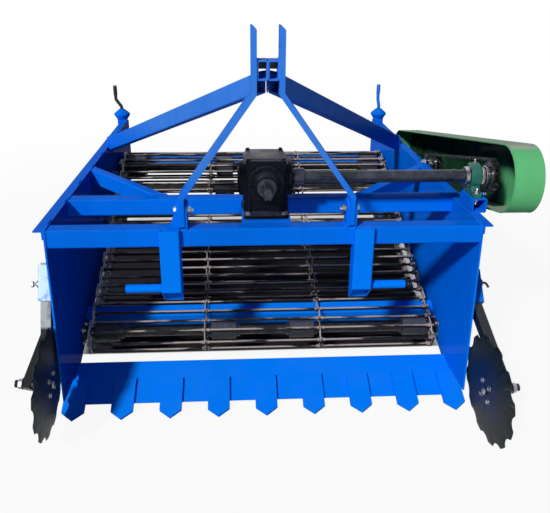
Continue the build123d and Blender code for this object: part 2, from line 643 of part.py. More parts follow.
with BuildPart() as chain_guard:
    with BuildSketch(Plane.YZ.offset(GUARD_INNER)):
        with BuildLine():
            belt_outline(GUARD_FRONT, GUARD_REAR, 0)
        make_face()
        with BuildLine():
            belt_outline(GUARD_FRONT, GUARD_REAR, -GUARD_SHEET)
        make_face(mode=Mode.SUBTRACT)
    extrude(amount=GUARD_OUTER - GUARD_INNER)
    with BuildSketch(Plane.YZ.offset(GUARD_OUTER - GUARD_SHEET)):
        with BuildLine():
            belt_outline(GUARD_FRONT, GUARD_REAR, 0)
        make_face()
    extrude(amount=GUARD_SHEET)
keep(chain_guard, "chain_guard")

def guard_stay_z(y):
    """Height of a stay that passes midway between the chain's lower run and the guard's floor."""
    chain_drop = (front_sprocket[0], -front_sprocket[1], front_sprocket[2])
    chain_rear = (rear_sprocket[0], -rear_sprocket[1], rear_sprocket[2])
    guard_drop = (GUARD_FRONT[0], -GUARD_FRONT[1], GUARD_FRONT[2])
    guard_rear = (GUARD_REAR[0], -GUARD_REAR[1], GUARD_REAR[2])
    chain_low = -upper_run(chain_drop, chain_rear, y, -CHAIN_HEIGHT / 2)
    guard_low = -upper_run(guard_drop, guard_rear, y, GUARD_SHEET)
    return (chain_low + guard_low) / 2

with BuildPart() as guard_stays:
    for stay_y in GUARD_STAY_PLACES:
        with BuildSketch(Plane.YZ.offset(HALF_WIDTH)):
            with Locations((stay_y, guard_stay_z(stay_y))):
                Circle(GUARD_STAY_DIA / 2)
        extrude(amount=GUARD_OUTER - GUARD_SHEET - HALF_WIDTH)
keep(guard_stays, "guard_stays")

# ---- Blade -------------------------------------------------------------------------------
blade_plane = Plane(
    origin=(0, BLADE_FRONT, tip_drop),
    x_dir=(1, 0, 0),
    z_dir=(0, -math.sin(slope), math.cos(slope)),
)
with BuildPart() as digging_blade:
    with BuildSketch(blade_plane):
        Rectangle(2 * BLADE_HALF_WIDTH, BLADE_LENGTH, align=(Align.CENTER, Align.MIN))
    extrude(amount=-BLADE_THICK)
    chamfer(digging_blade.edges().filter_by(Axis.X).sort_by(Axis.Z)[0], BLADE_BEVEL)
    ear_rear = blade_point(BLADE_LENGTH, 0)
    for side_name, side in SIDES:
        with BuildSketch(Plane.YZ.offset(side * HALF_WIDTH)):
            with BuildLine():
                Polyline(
                    blade_point(TOOTH_LAP + EAR_SETBACK, 0),
                    ear_rear,
                    (ear_rear[0], BLADE_EAR_HIGH),
                    (ear_rear[0] - BLADE_EAR_TOP, BLADE_EAR_HIGH),
                    close=True,
                )
            make_face()
        extrude(amount=side * BLADE_EAR_THICK)
keep(digging_blade, "digging_blade")

with BuildPart() as blade_teeth:
    for tooth in range(TOOTH_COUNT):
        tooth_x = (tooth - (TOOTH_COUNT - 1) / 2) * TOOTH_PITCH
        with BuildSketch(blade_plane):
            with BuildLine():
                Polyline(
                    (tooth_x - TOOTH_WIDTH / 2, TOOTH_LAP),
                    (tooth_x - TOOTH_WIDTH / 2, TOOTH_POINT - TOOTH_AHEAD),
                    (tooth_x, -TOOTH_AHEAD),
                    (tooth_x + TOOTH_WIDTH / 2, TOOTH_POINT - TOOTH_AHEAD),
                    (tooth_x + TOOTH_WIDTH / 2, TOOTH_LAP),
                    close=True,
                )
            make_face()
        extrude(amount=TOOTH_THICK)
keep(blade_teeth, "blade_teeth")

# ---- Rod web and its shafts --------------------------------------------------------------
with BuildLine(Plane.YZ) as web_path:
    belt_outline(WEB_FRONT, WEB_REAR, 0)
web_wire = web_path.wire()
rod_count = round(web_wire.length / WEB_PITCH)
rod_places = [web_wire @ (index / rod_count) for index in range(rod_count)]
with BuildPart() as web_rods:
    with BuildSketch(Plane.YZ.offset(-WEB_HALF_WIDTH)):
        with Locations(*[(place.Y, place.Z) for place in rod_places]):
            Circle(WEB_ROD_DIA / 2)
    extrude(amount=2 * WEB_HALF_WIDTH)
keep(web_rods, "web_rods")

link_outside = -(WEB_ROD_DIA / 2 + FIT)
with BuildPart() as web_links:
    for link_x in (-WEB_OUTER_LINK_X, -WEB_INNER_LINK_X, WEB_INNER_LINK_X, WEB_OUTER_LINK_X):
        with BuildSketch(Plane.YZ.offset(link_x - WEB_LINK_WIDTH / 2)):
            with BuildLine():
                belt_outline(WEB_FRONT, WEB_REAR, link_outside)
            make_face()
            with BuildLine():
                belt_outline(WEB_FRONT, WEB_REAR, link_outside - WEB_LINK_THICK)
            make_face(mode=Mode.SUBTRACT)
        extrude(amount=WEB_LINK_WIDTH)
keep(web_links, "web_links")

bearing_end = HALF_WIDTH + BEARING_THICK
web_rollers = (                 # name, y, z, shaft diameter, wheel radius, wheel width, right end
    ("front_roller", FRONT_ROLLER_Y, front_roller_z, ROLLER_SHAFT_DIA,
     ROLLER_DIA / 2, ROLLER_WIDTH, bearing_end),
    ("support_roller", SUPPORT_ROLLER_Y, support_roller_z, ROLLER_SHAFT_DIA,
     ROLLER_DIA / 2, ROLLER_WIDTH, bearing_end),
    ("web_drive_shaft", WEB_REAR[0], WEB_REAR[1], DRIVE_SHAFT_DIA,
     WEB_REAR[2] + link_outside, DRIVE_WHEEL_WIDTH, CHAIN_X + SPROCKET_THICK),
)
for roller_name, roller_y, roller_z, shaft_dia, wheel_r, wheel_width, right_end in web_rollers:
    with BuildPart() as roller:
        with BuildSketch(Plane.YZ.offset(-bearing_end)):
            with Locations((roller_y, roller_z)):
                Circle(shaft_dia / 2)
        extrude(amount=bearing_end + right_end)
        for wheel_x in (-ROLLER_OUTER_X, -ROLLER_INNER_X, ROLLER_INNER_X, ROLLER_OUTER_X):
            with BuildSketch(Plane.YZ.offset(wheel_x - wheel_width / 2)):
                with Locations((roller_y, roller_z)):
                    Circle(wheel_r)
            extrude(amount=wheel_width)
    keep(roller, roller_name)

bearing_steps = (               # radius and length
    (BEARING_FLANGE_RADIUS, BEARING_FLANGE_THICK),
    (BEARING_RADIUS, BEARING_THICK),
)
with BuildPart() as web_bearings:
    for side_name, side in SIDES:
        for shaft_y, shaft_z, shaft_dia in web_shafts:
            for radius, length in bearing_steps:
                with BuildSketch(Plane.YZ.offset(side * HALF_WIDTH)):
                    with Locations((shaft_y, shaft_z)):
                        Circle(radius)
                extrude(amount=side * length)
            with BuildSketch(Plane.YZ.offset(side * HALF_WIDTH)):
                with Locations((shaft_y, shaft_z)):
                    Circle(shaft_dia / 2 + FIT)
            extrude(amount=side * BEARING_THICK, mode=Mode.SUBTRACT)
keep(web_bearings, "web_bearings")

web_rise = (WEB_REAR[1] - WEB_FRONT[1]) / (WEB_REAR[0] - WEB_FRONT[0])
with BuildPart() as web_cross_tube:
    with BuildSketch(Plane.YZ.offset(-PLATE_INNER)):
        with Locations((CROSS_TUBE_Y, WEB_FRONT[1] + (CROSS_TUBE_Y - WEB_FRONT[0]) * web_rise)):
            tube_section(BEAM, BEAM, BEAM_WALL, tilt=math.degrees(math.atan(web_rise)))
    extrude(amount=2 * PLATE_INNER)
keep(web_cross_tube, "web_cross_tube")

# ---- Side discs --------------------------------------------------------------------------
camber = math.radians(DISC_CAMBER)
sleeve_x = HALF_WIDTH + SLEEVE_PAD + SLEEVE / 2
hub_end = (SHANK_FOOT_X - SHANK / 2 - DISC_X) / math.cos(camber) - DISC_HUB_GAP
axle_end = (SHANK_FOOT_X + SHANK / 2 + DISC_AXLE_PAST - DISC_X) / math.cos(camber)
hub_start = DISC_THICK / 2 + DISC_HUB_INSIDE
bore_start = hub_start - DISC_HUB_END
sleeve_rakes = {name: math.radians(rake) for name, rake in SLEEVE_RAKE.items()}
sleeve_planes = {               # through a sleeve's middle, facing up along it
    side_name: Plane(
        origin=(side * sleeve_x, *SLEEVE_PLACES[side_name]),
        x_dir=(1, 0, 0),
        z_dir=(0, math.sin(sleeve_rakes[side_name]), math.cos(sleeve_rakes[side_name])),
    )
    for side_name, side in SIDES
}
with BuildPart() as disc_sleeves:
    for side_name, side in SIDES:
        with BuildSketch(sleeve_planes[side_name]):
            tube_section(SLEEVE, SLEEVE, SLEEVE_WALL)
            with Locations((-side * (SLEEVE + SLEEVE_PAD) / 2, 0)):
                Rectangle(SLEEVE_PAD, SLEEVE_PAD_WIDTH)
        extrude(amount=SLEEVE_LENGTH / 2, both=True)
keep(disc_sleeves, "disc_sleeves")

for side_name, side in SIDES:
    disc_centre = Vector(side * DISC_X, *DISC_PLACES[side_name])
    toe = math.radians(DISC_TOE[side_name])
    disc_axis = Vector(side * math.cos(camber) * math.cos(toe), math.sin(toe), math.sin(camber) * math.cos(toe))
    disc_plane = Plane(origin=disc_centre, x_dir=(0, 1, 0), z_dir=disc_axis)
    shank_drop = SLEEVE_LENGTH / 2 + SHANK_BEND_DROP[side_name]
    shank_bend = sleeve_planes[side_name].origin - sleeve_planes[side_name].z_dir * shank_drop
    shank_foot = disc_centre + disc_axis * ((SHANK_FOOT_X - DISC_X) / abs(disc_axis.X))
    shank_past = SHANK / 3          # how far the upper run goes on below the bend
    with BuildPart() as disc_arm:
        with BuildSketch(sleeve_planes[side_name].offset(-shank_drop - shank_past)):
            RectangleRounded(SHANK, SHANK, SHANK_CORNER)
        extrude(amount=shank_past + shank_drop + SLEEVE_LENGTH / 2 + SHANK_STUB)
        with BuildSketch(run_plane(shank_bend, shank_foot)):
            RectangleRounded(SHANK, SHANK, SHANK_CORNER)
        extrude(amount=(shank_foot - shank_bend).length + SHANK / 2)
        with BuildSketch(disc_plane.offset(-DISC_THICK / 2)):
            Circle(DISC_AXLE_DIA / 2)
        extrude(amount=axle_end + DISC_THICK / 2)
    keep(disc_arm, f"{side_name}_disc_arm")

    with BuildPart() as disc:
        with BuildSketch(disc_plane.offset(-DISC_THICK / 2)):
            Circle(DISC_RADIUS)
            with PolarLocations(DISC_RADIUS + DISC_NOTCH_OUT, DISC_NOTCHES):
                Circle(DISC_NOTCH_RADIUS, mode=Mode.SUBTRACT)
        extrude(amount=DISC_THICK)
        with BuildSketch(disc_plane.offset(-hub_start)):
            Circle(DISC_HUB_RADIUS)
        extrude(amount=hub_end + hub_start)
        with BuildSketch(disc_plane.offset(-bore_start)):
            Circle(DISC_AXLE_DIA / 2 + FIT)
        extrude(amount=hub_end + bore_start, mode=Mode.SUBTRACT)
    keep(disc, f"{side_name}_disc")

# ---- Depth wheels ------------------------------------------------------------------------
post_x = HALF_WIDTH + POST / 2
leg_face = post_x + LEG / 2
hub_inner = WHEEL_X - TYRE_WIDTH / 2 - WHEEL_HUB_INSIDE
hub_outer = WHEEL_X + TYRE_WIDTH / 2
axle_tip = hub_outer + WHEEL_GAP + AXLE_CAP_THICK
axle_steps = (                  # from x, to x and radius
    (post_x, axle_tip, WHEEL_AXLE_DIA / 2),
    (leg_face - LEG_WALL, hub_inner - WHEEL_GAP, AXLE_COLLAR_RADIUS),
    (hub_outer + WHEEL_GAP, axle_tip, AXLE_CAP_RADIUS),
)
for side_name, side in SIDES:
    with BuildPart() as wheel_post:
        with BuildSketch(Plane.XY.offset(POST_LOW)):
            with Locations((side * post_x, POST_Y)):
                tube_section(POST, POST, POST_WALL)
        extrude(amount=POST_HIGH - POST_LOW)
        collar_plane = Plane(origin=(side * post_x, POST_Y, POST_HIGH), x_dir=(1, 0, 0), z_dir=(0, -1, 0))
        screw_bore = CRANK_DIA / 2 + FIT
        with BuildSketch(collar_plane):
            with BuildLine():
                Polyline((screw_bore, 0), *COLLAR_PROFILE, (screw_bore, COLLAR_HEIGHT), close=True)
            make_face()
        revolve(axis=Axis(collar_plane.origin, (0, 0, 1)))
    keep(wheel_post, f"{side_name}_wheel_post")

    with BuildPart() as wheel_leg:
        with BuildSketch(Plane.XY.offset(WHEEL_RADIUS - LEG)):
            with Locations((side * post_x, POST_Y)):
                tube_section(LEG, LEG, LEG_WALL)
        extrude(amount=LEG_HIGH - WHEEL_RADIUS + LEG)
        with BuildSketch(Plane.XY.offset(LEG_HIGH - LEG_CAP)):
            with Locations((side * post_x, POST_Y)):
                Rectangle(LEG, LEG)
                Circle(CRANK_DIA / 2 + FIT, mode=Mode.SUBTRACT)
        extrude(amount=LEG_CAP)
        for step_from, step_to, step_radius in axle_steps:
            with BuildSketch(Plane.YZ.offset(side * step_from)):
                with Locations((POST_Y, WHEEL_RADIUS)):
                    Circle(step_radius)
            extrude(amount=side * (step_to - step_from))
    keep(wheel_leg, f"{side_name}_wheel_leg")

    hub_centre = Plane(origin=(0, POST_Y, WHEEL_RADIUS), x_dir=(1, 0, 0), z_dir=(0, -1, 0))
    wheel_axis = Axis((0, POST_Y, WHEEL_RADIUS), (1, 0, 0))
    bore = WHEEL_AXLE_DIA / 2 + FIT
    rim_sections = (            # from x, to x, from radius, to radius
        (hub_inner, hub_outer, bore, WHEEL_HUB_RADIUS),
        (WHEEL_X - WHEEL_DISC_THICK / 2, WHEEL_X + WHEEL_DISC_THICK / 2, bore, RIM_RADIUS),
        (WHEEL_X - RIM_WIDTH / 2, WHEEL_X + RIM_WIDTH / 2, RIM_RADIUS - RIM_THICK, RIM_RADIUS),
    )
    with BuildPart() as rim:
        with BuildSketch(hub_centre):
            for section_from, section_to, low_radius, high_radius in rim_sections:
                with Locations((side * (section_from + section_to) / 2, (low_radius + high_radius) / 2)):
                    Rectangle(section_to - section_from, high_radius - low_radius)
        revolve(axis=wheel_axis)
    keep(rim, f"{side_name}_wheel_rim")

    with BuildPart() as tyre:
        with BuildSketch(hub_centre):
            with Locations((side * WHEEL_X, (WHEEL_RADIUS + RIM_RADIUS + FIT) / 2)):
                tyre_section = Rectangle(TYRE_WIDTH, WHEEL_RADIUS - RIM_RADIUS - FIT)
            fillet(tyre_section.vertices().group_by(Axis.Z)[-1], TYRE_SHOULDER)
        revolve(axis=wheel_axis)
    keep(tyre, f"{side_name}_tyre")

offset_low = POST_HIGH + COLLAR_HEIGHT + CRANK_RISE
for side_name, side in SIDES:
    throw_x, throw_y = CRANK_THROWS[side_name]
    crank_x = side * post_x
    with BuildPart() as crank_screw:
        with BuildLine() as crank_path:
            FilletPolyline(
                (crank_x, POST_Y, LEG_HIGH - CRANK_REACH),
                (crank_x, POST_Y, offset_low),
                (crank_x + throw_x, POST_Y + throw_y, offset_low + CRANK_SLANT),
                (crank_x + throw_x, POST_Y + throw_y, CRANK_TOP),
                radius=CRANK_DIA,
            )
        with BuildSketch(Plane.XY.offset(LEG_HIGH - CRANK_REACH)):
            with Locations((crank_x, POST_Y)):
                Circle(CRANK_DIA / 2)
        sweep(path=crank_path.wire())
    keep(crank_screw, f"{side_name}_crank_screw")

# ---- Move the origin to the centre of the footprint and write the pieces ------------------
machine = Compound(pieces).bounding_box()
to_origin = Location((-(machine.min.X + machine.max.X) / 2, -(machine.min.Y + machine.max.Y) / 2, -machine.min.Z))
os.makedirs("parts", exist_ok=True)
for piece in pieces:
    placed = piece.moved(to_origin)
    placed.label = piece.label
    export_step(placed, f"parts/{piece.label}.step")
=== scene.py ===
"""Looks of the mounted potato harvester: its paint, steel, welds, fasteners, chain, discs and tyres.

Shapes are worked out in the machine's own millimetres: X across from the centreline, positive to
the chain side, Y rearwards from the front beam's face and Z up from the ground. build() moves them
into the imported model's frame, in metres. New pieces are surfaces worked out as whole arrays, and
each function's docstring says how.
"""

import json
import math

import bpy
import numpy as np
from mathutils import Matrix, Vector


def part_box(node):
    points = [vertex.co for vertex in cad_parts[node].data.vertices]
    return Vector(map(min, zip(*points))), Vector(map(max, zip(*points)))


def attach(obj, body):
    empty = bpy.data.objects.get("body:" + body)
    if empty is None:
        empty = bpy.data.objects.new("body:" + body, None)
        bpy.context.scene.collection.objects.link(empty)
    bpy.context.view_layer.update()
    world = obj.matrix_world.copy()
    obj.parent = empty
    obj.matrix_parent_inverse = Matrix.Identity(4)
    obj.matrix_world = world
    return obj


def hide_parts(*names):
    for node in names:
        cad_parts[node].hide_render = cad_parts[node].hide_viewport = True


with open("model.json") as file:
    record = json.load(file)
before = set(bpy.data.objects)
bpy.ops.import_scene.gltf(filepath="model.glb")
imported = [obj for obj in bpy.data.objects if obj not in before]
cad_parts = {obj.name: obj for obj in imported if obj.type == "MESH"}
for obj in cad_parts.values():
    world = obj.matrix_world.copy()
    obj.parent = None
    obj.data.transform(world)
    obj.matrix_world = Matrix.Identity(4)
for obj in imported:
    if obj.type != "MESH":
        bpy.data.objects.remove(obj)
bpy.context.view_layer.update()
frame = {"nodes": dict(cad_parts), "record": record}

SIDES = (("left", -1), ("right", 1))
X_AXIS = np.array((1.0, 0.0, 0.0))
Y_AXIS = np.array((0.0, 1.0, 0.0))
Z_AXIS = np.array((0.0, 0.0, 1.0))
MILLIMETRE = 0.001
SHARP = math.radians(32)

beam_box = [np.array(corner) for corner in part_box("front_beam")]
ORIGIN = np.array(((beam_box[0][0] + beam_box[1][0]) / 2, beam_box[0][1], 0.0))
BEAM_FACE = float(ORIGIN[1])     # where the front beam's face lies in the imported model's frame


def corners(node):
    """Lowest corner, highest corner and middle of a node, in the machine's millimetres."""
    low, high = [(np.array(corner) - ORIGIN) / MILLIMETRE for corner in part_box(node)]
    return low, high, (low + high) / 2


# ---- Materials ---------------------------------------------------------------------------
class Nodes:
    """The node tree of a new material or world, with short ways to add and join its nodes."""

    def __init__(self, name, kind="materials"):
        """Start an empty tree, and keep the object coordinates at hand."""
        self.owner = getattr(bpy.data, kind).new(name)
        self.owner.use_nodes = True
        self.tree = self.owner.node_tree
        self.tree.nodes.clear()
        self.coordinates = self.add("ShaderNodeTexCoord").outputs["Object"]

    def add(self, kind, **settings):
        """A new node with some of its settings."""
        node = self.tree.nodes.new(kind)
        for key, value in settings.items():
            setattr(node, key, value)
        return node

    def join(self, value, socket):
        """Link another socket to this one, or set a number, a vector or a colour on it."""
        if isinstance(value, bpy.types.NodeSocket):
            self.tree.links.new(value, socket)
        elif socket.type == "RGBA":
            socket.default_value = (*value, 1.0)
        else:
            socket.default_value = value

    def fill(self, node, **values):
        """Join values to a node's inputs; a name's underscores stand for spaces."""
        for key, value in values.items():
            self.join(value, node.inputs[key.replace("_", " ")])
        return node

    def noise(self, scale, detail, roughness=0.55, stretch=(1, 1, 1), vector=None):
        """Cloudy noise from 0 to 1, with its pattern drawn out where the stretch is small."""
        vector = self.coordinates if vector is None else vector
        mapping = self.fill(self.add("ShaderNodeMapping"), Scale=stretch, Vector=vector)
        texture = self.add("ShaderNodeTexNoise")
        self.fill(texture, Scale=scale, Detail=detail, Roughness=roughness, Vector=mapping.outputs["Vector"])
        return texture.outputs["Fac"]

    def ramp(self, value, low, high, out_low=0.0, out_high=1.0):
        """A value from low to high made one from out_low to out_high, and held at both ends."""
        node = self.add("ShaderNodeMapRange")
        self.fill(node, Value=value, From_Min=low, From_Max=high, To_Min=out_low, To_Max=out_high)
        return node.outputs["Result"]

    def patches(self, scale, detail, low, high, out_low=0.0, out_high=1.0, **how):
        """Noise put through a ramp."""
        return self.ramp(self.noise(scale, detail, **how), low, high, out_low, out_high)

    def maths(self, operation, first, second=0.0):
        """One operation on two values."""
        node = self.add("ShaderNodeMath", operation=operation)
        self.join(first, node.inputs[0])
        self.join(second, node.inputs[1])
        return node.outputs["Value"]

    def times(self, first, second):
        """Product of two values."""
        return self.maths("MULTIPLY", first, second)

    def either(self, first, second):
        """The larger of two values."""
        return self.maths("MAXIMUM", first, second)

    def mix(self, share, first, second):
        """The first colour, with the second over it by the share."""
        node = self.add("ShaderNodeMix", data_type="RGBA")
        return self.fill(node, Factor=share, A=first, B=second).outputs["Result"]

    def split(self, vector, axis):
        """One of the X, Y and Z of a vector."""
        return self.fill(self.add("ShaderNodeSeparateXYZ"), Vector=vector).outputs[axis]

    def place(self, axis):
        """Where the surface lies along X, Y or Z, in metres."""
        return self.split(self.coordinates, axis)

    def facing(self, axis):
        """How far the surface faces along X, Y or Z, from -1 to 1."""
        return self.split(self.add("ShaderNodeNewGeometry").outputs["Normal"], axis)

    def turned_about_x(self, centre):
        """Angle round an axis along X through a centre, and distance from it, as a vector for noise."""
        back = self.maths("SUBTRACT", self.place("Y"), centre[1])
        rise = self.maths("SUBTRACT", self.place("Z"), centre[2])
        distance = self.maths("SQRT", self.maths("ADD", self.times(back, back), self.times(rise, rise)))
        polar = self.fill(self.add("ShaderNodeCombineXYZ"), X=self.maths("ARCTAN2", rise, back), Y=distance)
        return polar.outputs["Vector"]

    def rounded(self, radius):
        """Normal of the surface as if its edges had this radius."""
        return self.fill(self.add("ShaderNodeBevel", samples=4), Radius=radius).outputs["Normal"]

    def edges(self, radius):
        """One near an edge and nought elsewhere: how far the rounded normal leaves the flat one."""
        dot = self.add("ShaderNodeVectorMath", operation="DOT_PRODUCT")
        self.join(self.rounded(radius), dot.inputs[0])
        self.join(self.add("ShaderNodeNewGeometry").outputs["Normal"], dot.inputs[1])
        return self.ramp(dot.outputs["Value"], 0.99, 0.8)

    def bump(self, height, depth, normal=None):
        """A height made into a normal, on top of another one where it is given."""
        node = self.fill(self.add("ShaderNodeBump"), Distance=depth, Height=height)
        if normal is not None:
            self.join(normal, node.inputs["Normal"])
        return node.outputs["Normal"]

    def finish(self, colour, roughness, normal, metallic=0.0, specular=0.5, coat=0.0):
        """Put the shader at the end of the tree, and give back the material."""
        shader = self.fill(
            self.add("ShaderNodeBsdfPrincipled"), Base_Color=colour, Roughness=roughness, Normal=normal,
            Metallic=metallic, Specular_IOR_Level=specular, Coat_Weight=coat, Coat_Roughness=0.12,
        )
        return self.end(shader.outputs["BSDF"], "ShaderNodeOutputMaterial")

    def end(self, surface, kind):
        """Join a shader to a new output node."""
        self.fill(self.add(kind), Surface=surface)
        return self.owner


DUST = (0.30, 0.26, 0.22)
# dust, and a painted sky reflection on the tops of castings
DUST_AND_SKY_SHEEN = (0.17, 0.18, 0.29)
BARE_STEEL = (0.20, 0.19, 0.18)
# painted light: a brighter blue for front faces that the key light falls on
LIT_FRONT_BLUE = (0.0, 0.235, 1.0)
# painted highlight: a pale hazy blue for the high parts
HAZE_HIGHLIGHT_BLUE = (0.060, 0.230, 0.68)
# painted shade: a duller blue for the left side plate's inner face
PAINTED_SHADE_BLUE = (0.0, 0.055, 0.36)
LIT_FRONT_HEIGHTS = (0.50, 0.62)         # below these heights the front faces get the painted lit blue
HAZE_HIGHLIGHT_HEIGHTS = (0.78, 0.90)       # above these heights the mast and braces get the painted pale highlight
# painted shade on the chain guard's inner face
PAINTED_GUARD_SHADE = (0.003, 0.010, 0.008)
THICK_DUST = (0.42, 0.41, 0.37)
# painted glare on the left sleeve's front
PAINTED_GLARE = (0.66, 0.86, 0.97)
FRONT_GREY = (0.42, 0.44, 0.43)
ARM_CAST_TO = 0.345              # the left arm stays black below this height
PAINTED_EDGE = 0.0015            # metres of rounding that paint gives an edge


def shade(colour, factor):
    """The colour, lighter or darker by a factor."""
    return tuple(min(1.0, channel * factor) for channel in colour)


def paint(name, colour, roughness=0.34, dust=0.04, wear=0.5, specular=0.0, cover=None):
    """Sprayed paint: slow colour change, runs down upright faces, orange peel, scuffs, dust and rubbed edges.

    A cover takes the nodes and the colour so far, and gives that colour with something more over it.
    """
    n = Nodes(name)
    base = n.mix(n.patches(3.2, 4, 0.3, 0.7), shade(colour, 0.84), colour)
    base = n.mix(n.patches(30.0, 3, 0.55, 0.8, 0.0, 0.3, stretch=(1, 1, 0.06)), base, shade(colour, 0.7))
    dusty = n.times(n.ramp(n.facing("Z"), 0.2, 0.9), n.patches(9.0, 6, 0.42, 0.75, 0.0, dust))
    base = n.mix(dusty, base, DUST)
    scuff = n.times(n.patches(46.0, 6, 0.68, 0.76, roughness=0.7, stretch=(1, 1, 0.25)), 0.35)
    base = n.mix(scuff, base, shade(colour, 0.45))
    base = n.mix(n.times(n.edges(PAINTED_EDGE), n.patches(55.0, 5, 0.56, 0.72, 0.0, wear)), base, BARE_STEEL)
    if cover:
        base = cover(n, base)
    rough = n.patches(26.0, 4, 0.3, 0.7, roughness * 0.8, roughness * 1.25)
    rough = n.maths("ADD", rough, n.times(dusty, 0.8))
    normal = n.bump(n.noise(420.0, 2), 0.00018, n.rounded(PAINTED_EDGE))
    return n.finish(base, rough, normal, specular=specular, coat=0.05)


def steel(name, colour, tarnish, roughness=0.35, share=0.5, grain=(1, 1, 1), metallic=1.0):
    """Bare or plated steel: tarnish in patches, fine grain along the part and softened edges."""
    n = Nodes(name)
    tarnished = n.patches(24.0, 6, 0.5 - share * 0.3, 0.78 - share * 0.3, roughness=0.62)
    rough = n.patches(60.0, 4, 0.3, 0.7, roughness * 0.75, roughness * 1.35)
    normal = n.bump(n.noise(900.0, 2, 0.5, grain), 0.00012, n.rounded(0.0008))
    return n.finish(n.mix(tarnished, colour, tarnish), rough, normal, metallic=metallic)


def casting(name, colour, roughness=0.45, grain=260.0, specular=0.3, dust=0.2):
    """Painted cast iron: sandy bump, soft edges, oily patches that are smoother, and on top faces a blue-grey
    that is dust and also a painted sky reflection.
    """
    n = Nodes(name)
    base = n.mix(n.patches(18.0, 5, 0.45, 0.8), colour, shade(colour, 1.7))
    # dust on top faces, blue-grey so that it also paints the sky reflected on the gearbox lid
    dusty = n.times(n.ramp(n.facing("Z"), 0.3, 0.95), n.patches(30.0, 5, 0.35, 0.7, dust / 4, dust))
    rough = n.patches(12.0, 4, 0.35, 0.7, roughness * 0.7, roughness * 1.2)
    normal = n.bump(n.noise(grain, 4, 0.65), 0.0006, n.rounded(0.002))
    return n.finish(n.mix(dusty, base, DUST_AND_SKY_SHEEN), rough, normal, specular=specular)


def frame_painted_light_and_shade(n, base):
    """Painted light and shade on the frame paint: a painted lit blue on low front faces, a painted pale
    highlight up on the mast, and painted shade inside the left side plate.
    """
    # painted light: the hitch legs' front faces, and low faces towards the light, get a brighter blue
    forward = n.ramp(n.facing("Y"), -0.4, -0.9)
    lit_leg_fronts = n.times(forward, n.ramp(n.place("Y"), BEAM_FACE - 0.03, BEAM_FACE - 0.01, 0.9, 0.0))
    towards = n.either(forward, n.ramp(n.facing("Z"), 0.6, 0.8))
    low = n.times(towards, n.ramp(n.place("Z"), *LIT_FRONT_HEIGHTS, 0.55, 0.0))
    base = n.mix(n.either(lit_leg_fronts, low), base, LIT_FRONT_BLUE)
    # painted highlight: pale hazy patches up on the mast and braces
    patches = n.patches(20.0, 5, 0.3, 0.7, 0.55, 1.0, roughness=0.6, stretch=(1, 1, 0.4))
    base = n.mix(n.times(n.ramp(n.place("Z"), *HAZE_HIGHLIGHT_HEIGHTS, 0.0, 0.85), patches), base, HAZE_HIGHLIGHT_BLUE)
    # painted shade: the left side plate's inner face, which faces away from the key light
    inner = n.times(n.ramp(n.facing("X"), 0.7, 0.9), n.ramp(n.place("X"), -0.6, -0.68, 0.0, 0.9))
    return n.mix(inner, base, PAINTED_SHADE_BLUE)


def guard_painted_shade_and_dust(n, base):
    """Painted shade, near black, on the guard's inner face, left off low in front where the key light falls
    in, and thick dust on the guard's top.
    """
    # painted shade: near black on the guard's inner face, which lies in shade
    grease = n.times(n.ramp(n.facing("X"), -0.2, -0.8), n.patches(7.0, 5, 0.36, 0.62, 0.98, 0.82))
    # painted light: the painted shade is left off low in front, where the key light falls in
    ahead = n.ramp(n.place("Y"), BEAM_FACE + 0.37, BEAM_FACE + 0.31)
    lit_patch = n.times(ahead, n.ramp(n.place("Z"), 0.83, 0.78))
    grease = n.times(grease, n.maths("SUBTRACT", 1.0, lit_patch))
    dust = n.times(n.ramp(n.facing("Z"), 0.93, 0.975), n.patches(14.0, 5, 0.35, 0.6, 0.6, 0.95))
    over = n.mix(n.ramp(n.facing("Z"), 0.4, 0.6), PAINTED_GUARD_SHADE, THICK_DUST)
    return n.mix(n.either(grease, dust), base, over)


def left_sleeve_painted_glare(n, base):
    """Painted glare: pale patches on the front of the left sleeve, where the key light glints."""
    front = n.times(n.ramp(n.facing("Y"), -0.3, -0.8), n.ramp(n.place("X"), -0.3, -0.4))
    # painted glare in patches on the sleeve's front faces
    glare_patches = n.patches(26.0, 4, 0.34, 0.5, 0.25, 0.98, roughness=0.6, stretch=(1, 1, 0.5))
    return n.mix(n.times(front, glare_patches), base, PAINTED_GLARE)


def grey_front_patches(n, base):
    """Grey patches on the front faces of an arm, above its black foot."""
    above = n.ramp(n.place("Z"), ARM_CAST_TO, ARM_CAST_TO + 0.01)
    front = n.times(n.ramp(n.facing("Y"), -0.3, -0.8), above)
    grey_patches = n.patches(40.0, 5, 0.36, 0.5, 0.5, 0.95, roughness=0.6, stretch=(1, 1, 0.4))
    return n.mix(n.times(front, grey_patches), base, FRONT_GREY)


def rubber(name):
    """Tyre rubber: nearly black, dusty in patches, with a fine matt grain."""
    n = Nodes(name)
    base = n.mix(n.patches(22.0, 6, 0.35, 0.7), (0.012, 0.012, 0.013), (0.045, 0.042, 0.038))
    normal = n.bump(n.noise(600.0, 3), 0.0003, n.rounded(0.0015))
    return n.finish(base, n.patches(35.0, 4, 0.3, 0.7, 0.62, 0.85), normal, specular=0.3)


